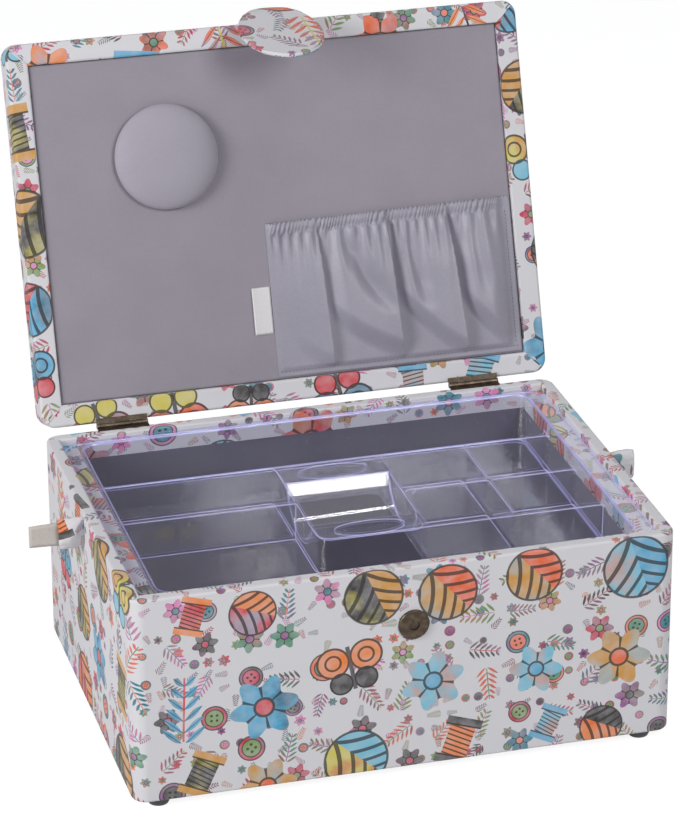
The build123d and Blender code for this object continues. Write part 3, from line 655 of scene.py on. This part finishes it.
def blanket_place(width, depth, height, rim, inward):
    """One cut that covers the closed face and is drawn over the walls on all four sides."""
    def place(normal, middle, point):
        drawn = over_rim(point, inward(point), height, rim)
        if normal.z < -0.9:
            return point.x, point.y
        if abs(middle.x) - width / 2 > abs(middle.y) - depth / 2:
            return math.copysign(width / 2 + drawn, middle.x), point.y
        return point.x, math.copysign(depth / 2 + drawn, middle.y)

    return place


print("wrapped case ready")

# %% [markdown]
# ## The box's cotton
# On the box the cloth also folds under the bottom edge and stops where the bottom panel begins, so the
# closed bottom face is opened again by an inset, at the width of that turning.

# %% Box cover
BOX_WIDTH, BOX_DEPTH, BOX_CORNER = 325 * MM, 235 * MM, 9 * MM
BOX_BOTTOM, BOX_HEIGHT, WALL = 6 * MM, 129.5 * MM, 8 * MM
BOTTOM_EDGE, TURN_UNDER, TURN_IN = 2.0 * MM, 14 * MM, 15 * MM

bm, inward = wrapped_case(BOX_WIDTH, BOX_DEPTH, BOX_HEIGHT, BOX_CORNER, WALL, TURN_IN,
                          edge_closed=BOTTOM_EDGE, edge_rim=1.6 * MM, edge_inner=1.2 * MM)
under = inset_flat(bm, -1, TURN_UNDER - BOTTOM_EDGE, BOX_CORNER - BOTTOM_EDGE)
bmesh.ops.delete(bm, geom=[under], context="FACES")
lay_cloth(bm, strip_place(BOX_WIDTH, BOX_DEPTH, BOX_HEIGHT, BOX_CORNER, WALL, inward))
bmesh.ops.translate(bm, verts=bm.verts[:], vec=(0, 0, BOX_BOTTOM))
box_cotton = new_piece("box_cotton", bm, cotton, "box", weighted=True)
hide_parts("box_cover")
print("box cotton", len(box_cotton.data.polygons), "faces")

# %% [markdown]
# ## The lid's cotton
# The open lid is a tilted copy of the closed one. It is modelled flat, rim upwards, and one matrix - the
# lid's own frame - puts it where the CAD hinge holds it. At the corners of the wide rim the cloth is folded
# to a mitre, so a slim ridge follows each diagonal.

# %% Lid cover
LID_HEIGHT, LID_RIM, LID_RECESS = 21 * MM, 13.5 * MM, 6 * MM
lid_origin = Vector((0, 159.41, 249.2)) * MM
lid_along, lid_up = Vector((0, -0.32557, -0.94552)), Vector((0, 0.94552, -0.32557))
lid_turn = Matrix((Vector((1, 0, 0)), lid_along, lid_up)).transposed().to_4x4()
lid_frame = Matrix.Translation(lid_origin) @ lid_turn
# rim upwards while modelling: x stays, z is counted from the lid's top, y turns over
rim_up = lid_frame @ Matrix.Translation((0, 0, LID_HEIGHT)) @ Matrix.Rotation(math.pi, 4, "X")

bm, inward = wrapped_case(BOX_WIDTH, BOX_DEPTH, LID_HEIGHT, BOX_CORNER, LID_RIM, LID_RECESS,
                          edge_closed=3.0 * MM, edge_rim=2.0 * MM, edge_inner=1.6 * MM)
lay_cloth(bm, blanket_place(BOX_WIDTH, BOX_DEPTH, LID_HEIGHT, LID_RIM, inward))
bmesh.ops.transform(bm, matrix=rim_up, verts=bm.verts[:])
lid_cotton = new_piece("lid_cotton", bm, cotton, "lid", weighted=True)
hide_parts("lid_cover")

# the folded edge of the cloth on each mitre stands up as a slim ridge
RIDGE_START, RIDGE_STOP, RIDGE_WIDE, RIDGE_TALL = 3.4 * MM, 1.8 * MM, 0.9 * MM, 0.8 * MM
bm = bmesh.new()
outer_x, outer_y = BOX_WIDTH / 2 - RIDGE_START, BOX_DEPTH / 2 - RIDGE_START
run_in = LID_RIM - RIDGE_START - RIDGE_STOP
for sign_x in (-1, 1):
    for sign_y in (-1, 1):
        middle = (sign_x * (outer_x - run_in / 2), sign_y * (outer_y - run_in / 2), 0)
        turn = Matrix.Rotation(sign_x * sign_y * math.pi / 4, 4, "Z")
        size = Matrix.Diagonal((run_in * math.sqrt(2), RIDGE_WIDE, RIDGE_TALL, 1))
        bmesh.ops.create_cube(bm, size=1.0, matrix=Matrix.Translation(middle) @ turn @ size)
round_edges(bm, bm.edges[:], 0.3 * MM, 2)
lay_cloth(bm, lambda normal, middle, point: (point.x, point.y))
bmesh.ops.transform(bm, matrix=lid_frame, verts=bm.verts[:])
mitre_folds = new_piece("mitre_folds", bm, cotton, "lid")
print("lid cotton", len(lid_cotton.data.polygons), "faces")

# %% [markdown]
# ## The lid's lining
# A board wrapped in grey cloth is pressed into the lid. Its edges are soft, and a narrow dark gap stays
# between it and the rim. A cube with rounded front edges is enough, placed by the lid's frame.

# %% Lid lining
PANEL_X, PANEL_Y, PANEL_FACE, PANEL_BACK = 148.7 * MM, 103.7 * MM, 2 * MM, 6 * MM
PANEL_EDGE = 1.6 * MM
bm = block((-PANEL_X, -PANEL_Y, PANEL_FACE), (PANEL_X, PANEL_Y, PANEL_BACK))
long_edges = [e for e in bm.edges if e.calc_length() > 50 * MM]
bmesh.ops.subdivide_edges(bm, edges=long_edges, cuts=24, use_grid_fill=True)
face_rim = [e for e in bm.edges if all(abs(v.co.z - PANEL_FACE) < TOUCH for v in e.verts)
            and min(f.normal.z for f in e.link_faces) < -0.9
            and max(f.normal.z for f in e.link_faces) > -0.1]
round_edges(bm, face_rim, PANEL_EDGE, 4)
bmesh.ops.transform(bm, matrix=lid_frame, verts=bm.verts[:])
lid_panel = new_piece("lid_panel", bm, lining_cloth, "lid", weighted=True)
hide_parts("lid_lining")
print("lid panel", len(lid_panel.data.polygons), "faces")

# %% [markdown]
# ## Ledges for the tray
# Two battens under the tray's rim are wrapped in the same print. Each is a block with its open edge
# rounded, and it stays a hair below the tray's rim, because two faces in one plane would flicker.

# %% Ledge covers
LEDGE_DROP, LEDGE_EDGE = 0.2 * MM, 1.0 * MM
for side, sign in (("left", -1), ("right", 1)):
    low, high = (Vector(corner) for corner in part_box(side + "_ledge_cover"))
    high.z -= LEDGE_DROP
    inner_x = min(abs(low.x), abs(high.x))
    bm = block(low, high)
    open_edge = [e for e in bm.edges if all(abs(v.co.z - high.z) < TOUCH for v in e.verts)
                 and all(abs(abs(v.co.x) - inner_x) < TOUCH for v in e.verts)]
    round_edges(bm, open_edge, LEDGE_EDGE, 3)
    lay_cloth(bm, lambda normal, middle, point: (point.y + 0.3 * sign, point.z + abs(point.x)))
    ledge = new_piece(side + "_ledge_cotton", bm, cotton, "box")
    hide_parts(side + "_ledge_cover")
print("two ledge covers")

# %% [markdown]
# ## Pin cushion
# A round pad of wadding under lining cloth, glued to the lid. It starts as a squashed sphere that is
# fuller at its brow. A cloth simulation with a little pressure then swells it as wadding does, which gives a
# fuller shape than scaling would; how far a point may move is capped so that it keeps its place.

# %% Pin cushion
CUSHION_X, CUSHION_Y, CUSHION_R, CUSHION_H = -69.3 * MM, -41.0 * MM, 32.5 * MM, 12 * MM
CUSHION_BROW, CUSHION_SWELL = 3.0 * MM, 0.5 * MM
SWELL_STEPS, SWELL_CAP, SWELL_PRESSURE = 20, 1.5 * MM, 4.0


def swell(piece, cap, pressure):
    """Swell a closed form as stuffed cloth: simulate pressure, cap the moves and keep the result."""
    mesh = piece.data
    start = [v.co.copy() for v in mesh.vertices]
    cloth = piece.modifiers.new("cloth", "CLOTH")
    cloth.settings.use_pressure, cloth.settings.uniform_pressure_force = True, pressure
    cloth.settings.effector_weights.gravity = 0.0
    cloth.settings.quality = 6
    for step in range(SWELL_STEPS):
        scene.frame_set(step + 1)
    graph = bpy.context.evaluated_depsgraph_get()
    blown = bpy.data.meshes.new_from_object(piece.evaluated_get(graph))
    moved = [v.co.copy() for v in blown.vertices]
    piece.modifiers.clear()
    bpy.data.meshes.remove(blown)
    scene.frame_set(1)
    for vertex, before, after in zip(mesh.vertices, start, moved):
        shift = after - before
        if shift.length > cap:
            shift *= cap / shift.length
        vertex.co = before + shift


bm = bmesh.new()
bmesh.ops.create_uvsphere(bm, u_segments=72, v_segments=36, radius=1.0)
for vertex in bm.verts:
    round_out = Vector((vertex.co.x, vertex.co.y)).length ** -0.22 if abs(vertex.co.z) < 0.999 else 0.0
    rise = CUSHION_H - CUSHION_BROW - CUSHION_SWELL if vertex.co.z > 0 else CUSHION_BROW
    vertex.co = (vertex.co.x * round_out * CUSHION_R, vertex.co.y * round_out * CUSHION_R,
                 CUSHION_BROW + vertex.co.z * rise)
pin_pad = new_piece("pin_pad", bm, cushion_cloth, sharp=180)
swell(pin_pad, SWELL_CAP, SWELL_PRESSURE)
seat = Matrix.Translation((CUSHION_X, CUSHION_Y, PANEL_FACE))
on_lining = lid_frame @ seat @ Matrix.Rotation(math.pi, 4, "X")
# what would sink into the lining is pressed flat on it
for vertex in pin_pad.data.vertices:
    vertex.co.z = max(vertex.co.z, 0.05 * MM)
pin_pad.data.transform(on_lining)
rounding = pin_pad.modifiers.new("rounding", "SUBSURF")
rounding.levels = rounding.render_levels = 1
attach(pin_pad, "lid")
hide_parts("pin_cushion")
print("pin cushion", len(pin_pad.data.polygons), "faces")

# %% [markdown]
# ## Gathered pocket
# A piece of satin, wider than the pocket, is drawn up on an elastic in its top hem and sewn down on the
# other three sides. So the top edge is finely ruffled, three deep pleats hang from it, and the cloth falls
# flat towards the seam at the bottom. Cloth that is gathered by hand never settles twice alike, so a fine
# grid is lifted off the lining by a formula instead: four panels that rise from one pleat and drop at the
# next, a hollow in each, and the short ruffles of the casing.

# %% Pocket
POCKET_LEFT, POCKET_RIGHT, POCKET_TOP, POCKET_BOTTOM = -11.0 * MM, 147.5 * MM, 4.4 * MM, 102.5 * MM
POCKET_WIDE, POCKET_TALL, HEM = POCKET_RIGHT - POCKET_LEFT, POCKET_BOTTOM - POCKET_TOP, 6.5 * MM
PLEATS_TOP, PLEATS_FOOT = (0.0, 0.203, 0.481, 0.733, 1.0), (0.0, 0.229, 0.512, 0.775, 1.0)
RUFFLES, GATHERS = 66, 22
# heights in millimetres: sewn edge, slack cloth, full fold, ruffle of the hem, gather below it, hem's puff
SEWN, SLACK, FOLD, RUFFLE, GATHER, PUFF = 0.5, 0.8, 8.2, 1.5, 1.4, 0.7


def swing(low, high, value):
    """A smooth step from 0 at low to 1 at high."""
    share = min(max((value - low) / (high - low), 0), 1)
    return share * share * (3 - 2 * share)


def ruffle_phase(across):
    """The elastic's small ruffles, a little uneven."""
    return math.pi * RUFFLES * across + 2.2 * math.sin(19 * across) + 1.5 * math.sin(47 * across)


def pleat(across, down, below):
    """The panels between the pleats, from 0 to about 1; below is 0 at the hem and 1 at the foot."""
    lines = [top + (foot - top) * down for top, foot in zip(PLEATS_TOP, PLEATS_FOOT)]
    panel = max(index for index in range(4) if across >= lines[index] - 1e-9)
    run = (across - lines[panel]) / (lines[panel + 1] - lines[panel])
    # the fold is full from a third of the way down until it ends on a slant
    ends = 0.42 + 0.62 * run - 0.20 * run ** 2 + 0.03 * math.sin(9 * across)
    fullness = swing(-0.25, 0.38, below) * (1 - 0.88 * swing(ends, ends + 0.17, below))
    # a hollow wanders across the panel and fades above its end
    hollow = 0.40 + 0.25 * below + 0.9 * below ** 2 if panel == 1 else 0.30 + 0.30 * below
    dip = 0.55 * math.exp(-((run - hollow) / 0.13) ** 2)
    dip *= swing(0.0, 0.2, below) * (1 - swing(0.42, 0.66, below))
    rise = swing(0.0, 0.32, run)
    if panel == 0:
        shape = 0.6 * swing(0.15, 1.0, run)
    elif panel == 3:
        shape = rise * (1 - swing(0.5, 1.0, run)) - 0.4 * dip
    else:
        shape = rise * (0.85 + 0.15 * run) * (1 - 0.08 * swing(0.75, 1.0, run)) - dip
    return fullness * shape


def pocket_height(across, down):
    """How far the cloth stands off the lining; across and down run from 0 to 1."""
    depth = down * POCKET_TALL
    below = max(depth - HEM, 0) / (POCKET_TALL - HEM)
    casing = math.exp(-(max(depth - HEM, 0) / (1.5 * MM)) ** 2)
    gathers = math.exp(-below / 0.13) * (1 - casing)
    ruffle = RUFFLE * abs(math.sin(ruffle_phase(across + 0.012 * down / 0.07))) ** 0.7 * casing
    ruffle *= 0.7 + 0.3 * math.sin(31 * across)
    ruffle += GATHER * math.sin(2 * math.pi * GATHERS * across + 3.0 * math.sin(11 * across)) * gathers
    puff = PUFF * math.sin(math.pi * depth / HEM) if depth < HEM else 0.0
    sewn = swing(0.0, 0.03, across) * swing(0.025, 0.06, 1 - across) * swing(0.03, 0.06, 1 - down)
    fold = FOLD * pleat(across, down, below) * (1 - 0.5 * casing)
    return (SEWN + sewn * (SLACK + fold + ruffle + puff)) * MM


def face_the_room(bm):
    """Turn a sheet that lies on the lining so that its faces look out of the lid."""
    if sum(face.normal.dot(lid_up) for face in bm.faces) > 0:
        bmesh.ops.reverse_faces(bm, faces=bm.faces[:])


bm = bmesh.new()
bmesh.ops.create_grid(bm, x_segments=340, y_segments=100, size=0.5)
for vertex in bm.verts:
    across, down = vertex.co.x + 0.5, vertex.co.y + 0.5
    frill = 0.6 * MM * math.sin(2 * ruffle_phase(across) + 1) * math.exp(-down / 0.02)
    droop = 2.0 * MM * (1 - across) * (1 - down)
    vertex.co = (POCKET_LEFT + across * POCKET_WIDE, POCKET_TOP + down * POCKET_TALL + frill + droop,
                 PANEL_FACE - pocket_height(across, down))
bmesh.ops.transform(bm, matrix=lid_frame, verts=bm.verts[:])
face_the_room(bm)
pocket_area = sum(face.calc_area() for face in bm.faces)
pocket_satin = new_piece("pocket_satin", bm, satin_cloth, "lid", sharp=180)
thicken(pocket_satin, 0.35 * MM)
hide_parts("pocket", "pocket_hem")

# a row of machine stitches along the bottom and up the right side, in a darker thread
bm = bmesh.new()
PITCH, STITCH, THREAD, FOOT_SEAM, SIDE_SEAM = 2.4 * MM, 1.5 * MM, 0.35 * MM, 3.4 * MM, 3.2 * MM
foot_row = [(place * PITCH, POCKET_TALL - FOOT_SEAM, STITCH, THREAD)
            for place in range(1, int(POCKET_WIDE / PITCH))]
side_row = [(POCKET_WIDE - SIDE_SEAM, place * PITCH, THREAD, STITCH)
            for place in range(4, int(POCKET_TALL / PITCH) - 1)]
for x, y, long, short in foot_row + side_row:
    level = PANEL_FACE - pocket_height(x / POCKET_WIDE, y / POCKET_TALL)
    middle = (POCKET_LEFT + x, POCKET_TOP + y, level)
    size = Matrix.Diagonal((long, short, THREAD, 1))
    bmesh.ops.create_cube(bm, size=1.0, matrix=Matrix.Translation(middle) @ size)
bmesh.ops.transform(bm, matrix=lid_frame, verts=bm.verts[:])
stitches = new_piece("pocket_stitches", bm, thread, "lid")

# %% [markdown]
# ## Plain label
# A folded strip of plain woven tape is caught in the pocket's side seam. A small grid stands for both of its
# layers, and its free edge lifts a little from the lining, as a folded label does.

# %% Label
TAG_LOW, TAG_HIGH = Vector((-23.4, 45.35)) * MM, Vector((-11.6, 74.65)) * MM
tag_size = TAG_HIGH - TAG_LOW
bm = bmesh.new()
bmesh.ops.create_grid(bm, x_segments=12, y_segments=20, size=0.5)
for vertex in bm.verts:
    across, down = vertex.co.x + 0.5, vertex.co.y + 0.5
    lift = 0.35 + 0.9 * (1 - across) ** 2 + 0.15 * math.sin(3 * down)
    vertex.co = (TAG_LOW.x + across * tag_size.x, TAG_LOW.y + down * tag_size.y, PANEL_FACE - lift * MM)
bmesh.ops.transform(bm, matrix=lid_frame, verts=bm.verts[:])
face_the_room(bm)
label = new_piece("label", bm, label_satin, "lid", sharp=180)
thicken(label, 0.3 * MM)
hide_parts("tag")
print("label", [round(side / MM, 1) for side in tag_size], "mm")

# %% [markdown]
# ## Closing tab
# A padded tongue of the print is sewn to the front of the lid and drops over the snap. Seen flat it is a
# rounded shield: a circle, stretched, thickened and rounded along its edge. Its root lies on the lid's
# front, and past the fold the flap hangs forward, so the finished shape is bent along its length.

# %% Closing tab
TAB_AXIS = Vector(next(j for j in frame["joints"] if j["name"] == "tab_hinge")["pos_m"])
TAB_REACH, TAB_WIDTH, TAB_ROOT, TAB_THICK = 65 * MM, 51.6 * MM, 11 * MM, 2.8 * MM
TAB_SHOULDER, TAB_BEND, TAB_DROOP, TAB_SEAM = 5 * MM, 4 * MM, math.radians(8.0), 1.25 * MM
tab_along = Vector((0, -math.cos(TAB_DROOP), -math.sin(TAB_DROOP)))
root_along = -lid_up

bm = bmesh.new()
bmesh.ops.create_grid(bm, x_segments=28, y_segments=36, size=1.0)
for vertex in bm.verts:
    across, down = vertex.co.x, vertex.co.y
    disc_x, disc_y = across * math.sqrt(1 - down * down / 2), down * math.sqrt(1 - across * across / 2)
    run = disc_y * (TAB_REACH + TAB_SHOULDER) / 2 + (TAB_REACH - TAB_SHOULDER) / 2
    vertex.co = (disc_x * TAB_WIDTH / 2, run if run > 0 else run * TAB_ROOT / TAB_SHOULDER, 0)
made = bmesh.ops.extrude_face_region(bm, geom=bm.faces[:])["geom"]
bmesh.ops.translate(bm, verts=[v for v in made if isinstance(v, bmesh.types.BMVert)], vec=(0, 0, TAB_THICK))
bmesh.ops.recalc_face_normals(bm, faces=bm.faces[:])
seam = [e for e in bm.edges if abs(sum(f.normal.z for f in e.link_faces)) > 0.9
        and min(abs(f.normal.z) for f in e.link_faces) < 0.5]
round_edges(bm, seam, TAB_SEAM, 4)
# its two sides are cut from different spots of the cloth
lay_cloth(bm, lambda normal, middle, point: (point.x + 0.11, point.y + (0.33 if normal.z > 0 else 0.23)))
side_way = Vector((1, 0, 0))
root_up = side_way.cross(root_along)
for vertex in bm.verts:
    run, lift = vertex.co.y, vertex.co.z - TAB_THICK / 2
    way = root_along.lerp(tab_along, swing(-TAB_BEND, TAB_BEND, run)).normalized()
    sag = 1.6 * MM + 1.4 * MM * max(run / TAB_REACH, 0) ** 2
    sink = 1.3 * MM * max(-run / TAB_ROOT, 0)
    line = root_along * run if run < 0 else tab_along * run
    off_line = side_way.cross(way) * (lift - sag) - root_up * sink
    vertex.co = TAB_AXIS + line + off_line + side_way * vertex.co.x
if bm.calc_volume(signed=True) < 0:
    bmesh.ops.reverse_faces(bm, faces=bm.faces[:])
tab_pad = new_piece("tab_pad", bm, cotton, sharp=180)
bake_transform(tab_pad)
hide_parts("tab_flap", "tab_root")
print("tab", len(tab_pad.data.polygons), "faces")

# %% [markdown]
# ## Strap ends
# On each side a short sleeve of the print holds the end of a carrying strap. The sleeve is an oval ring
# drawn out from the wall in a few steps, fuller in the middle, and creased a little by a noise; the strap is
# a flat tape with a slight curl.

# %% Strap sleeves and tapes
STRAP_Y, STRAP_Z, WALL_X = 3 * MM, 124 * MM, 162.5 * MM
# distance from the wall, half thickness and half height of the sleeve, in millimetres
SLEEVE_RINGS = ((0.0, 2.2, 9.0), (2.5, 2.8, 9.4), (6.0, 3.9, 9.7), (10.0, 4.0, 9.7), (14.0, 3.3, 9.5),
                (15.6, 2.6, 9.2))
for side, sign in (("left", -1), ("right", 1)):
    bm = bmesh.new()
    bmesh.ops.create_circle(bm, segments=28, radius=1.0)
    rim = bm.edges[:]
    _, thin, tall = SLEEVE_RINGS[0]
    for vertex in bm.verts:
        vertex.co = (0, vertex.co.x * thin * MM, vertex.co.y * tall * MM)
    for (out0, thin0, tall0), (out1, thin1, tall1) in zip(SLEEVE_RINGS, SLEEVE_RINGS[1:]):
        made = bmesh.ops.extrude_edge_only(bm, edges=rim)["geom"]
        rim = [e for e in made if isinstance(e, bmesh.types.BMEdge)]
        lifted = [v for v in made if isinstance(v, bmesh.types.BMVert)]
        bmesh.ops.scale(bm, vec=(1, thin1 / thin0, tall1 / tall0), verts=lifted)
        bmesh.ops.translate(bm, vec=((out1 - out0) * MM, 0, 0), verts=lifted)
    bmesh.ops.subdivide_edges(bm, edges=bm.edges[:], cuts=2, smooth=1.0, use_grid_fill=True)
    for vertex in bm.verts:
        crease = noise.noise(vertex.co * 260 + Vector((0, 0, 7 * sign)))
        vertex.co.y += math.copysign(0.9 * MM * crease, vertex.co.y) * min(vertex.co.x / (4 * MM), 1)
    lay_cloth(bm, lambda normal, middle, point: (point.x + 0.092 * sign + (0.03 if middle.y > 0 else 0),
                                                 point.z + 0.37))
    on_wall = Matrix.Translation((sign * WALL_X, STRAP_Y, STRAP_Z)) @ Matrix.Diagonal((sign, 1, 1, 1))
    bmesh.ops.transform(bm, matrix=on_wall, verts=bm.verts[:])
    bmesh.ops.recalc_face_normals(bm, faces=bm.faces[:])
    sleeve = new_piece(side + "_sleeve", bm, cotton, "box", sharp=180)
    thicken(sleeve, 0.8 * MM)
    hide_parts(side + "_strap_keeper")

    low, high = (Vector(corner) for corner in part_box(side + "_strap"))
    bm = bmesh.new()
    bmesh.ops.create_grid(bm, x_segments=18, y_segments=6, size=0.5)
    for vertex in bm.verts:
        along, across = vertex.co.x + 0.5, vertex.co.y
        start, stop = (high.x, low.x) if sign < 0 else (low.x, high.x)
        tall = (high.z - low.z) * (1 - 0.16 * along)
        vertex.co = (start + along * (stop - start), STRAP_Y + 0.5 * MM * math.sin(2.4 * along),
                     (low.z + high.z) / 2 + across * tall)
    tape = new_piece(side + "_tape", bm, strap_tape, "box", sharp=180)
    thicken(tape, 1.3 * MM, offset=0.0)
    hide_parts(side + "_strap")
print("two sleeves and two tapes")

# %% [markdown]
# ## Feet
# Four moulded rubber feet are glued under the corners. A foot is round, so half its profile is drawn once
# and spun about its axis, and its lower edge is rounded as the mould leaves it.

# %% Feet
# shares of the foot's radius and height, from its top round its lower edge
FOOT_PROFILE = ((0, 1), (1, 1), (1, 0.30), (0.90, 0.07), (0.74, 0), (0, 0))
for name in [name for name in nodes if name.endswith("_foot")]:
    low, high = (Vector(corner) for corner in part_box(name))
    radius, tall = (high.x - low.x) / 2, high.z - low.z
    bm = bmesh.new()
    profile = [bm.verts.new((x * radius, 0, z * tall)) for x, z in FOOT_PROFILE]
    lines = [bm.edges.new(pair) for pair in zip(profile, profile[1:])]
    bmesh.ops.spin(bm, geom=profile + lines, cent=(0, 0, 0), axis=(0, 0, 1), angle=2 * math.pi, steps=32,
                   use_merge=True)
    bmesh.ops.remove_doubles(bm, verts=bm.verts[:], dist=0.01 * MM)
    bmesh.ops.recalc_face_normals(bm, faces=bm.faces[:])
    bmesh.ops.translate(bm, verts=bm.verts[:], vec=((low.x + high.x) / 2, (low.y + high.y) / 2, low.z))
    foot = new_piece("rubber_" + name, bm, rubber, "box", sharp=60)
    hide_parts(name)
print("four rubber feet")

# %% [markdown]
# ## Clear tray
# The tray is one moulding, and its CAD solid already has every wall, trough and finger hole. Real mouldings
# have no razor edges, and clear plastic shows its rounded edges more than its faces. So a copy of the CAD
# mesh is merged, its flat faces are joined again, the rim's inner edge is rounded into a lip and every other
# sharp edge gets a small bevel. Lip, bevels and the narrow tops of the partitions wear the edges' finishes,
# whose painted lilac glow stands in for the light that the edges gather.

# %% Clear tray
LIP_ROUND, EDGE_ROUND, NARROW_TOP, SHARP = 1.7 * MM, 0.4 * MM, 2.3 * MM, 35
EDGES, LIP = 1, 2  # the material slots after the tray's own
bm = bmesh.new()
bm.from_mesh(nodes["tray"].data)
bmesh.ops.remove_doubles(bm, verts=bm.verts[:], dist=0.005 * MM)
bmesh.ops.dissolve_limit(bm, angle_limit=math.radians(0.5), verts=bm.verts[:], edges=bm.edges[:])
bmesh.ops.recalc_face_normals(bm, faces=bm.faces[:])
rim_level = max(v.co.z for v in bm.verts)


def sharp_edges():
    return [e for e in bm.edges if len(e.link_faces) == 2 and e.calc_face_angle() > math.radians(SHARP)]


def inner_lip(edge):
    """An edge of the rim that looks into the tray."""
    middle = (edge.verts[0].co + edge.verts[1].co) / 2
    looks_in = any(f.normal.x * middle.x + f.normal.y * middle.y < -0.02 for f in edge.link_faces)
    return looks_in and min(v.co.z for v in edge.verts) > rim_level - 0.1 * MM


# lip, bevels and narrow tops get the finishes with the painted glow
lip = [e for e in sharp_edges() if inner_lip(e)]
for face in round_edges(bm, lip, LIP_ROUND, 4):
    face.material_index = LIP
for face in round_edges(bm, sharp_edges(), EDGE_ROUND, 2):
    face.material_index = EDGES
for face in bm.faces:
    spans = [max(v.co[axis] for v in face.verts) - min(v.co[axis] for v in face.verts) for axis in (0, 1)]
    if abs(face.normal.z) > 0.99 and min(spans) < NARROW_TOP:
        face.material_index = EDGES
clear_tray = new_piece("clear_tray", bm, polystyrene, "tray", sharp=SHARP, weighted=True)
clear_tray.data.materials.append(painted_glow_edge)
clear_tray.data.materials.append(painted_glow_lip)
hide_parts("tray")
print("tray", len(clear_tray.data.polygons), "faces,", len(lip), "edges in its lip")
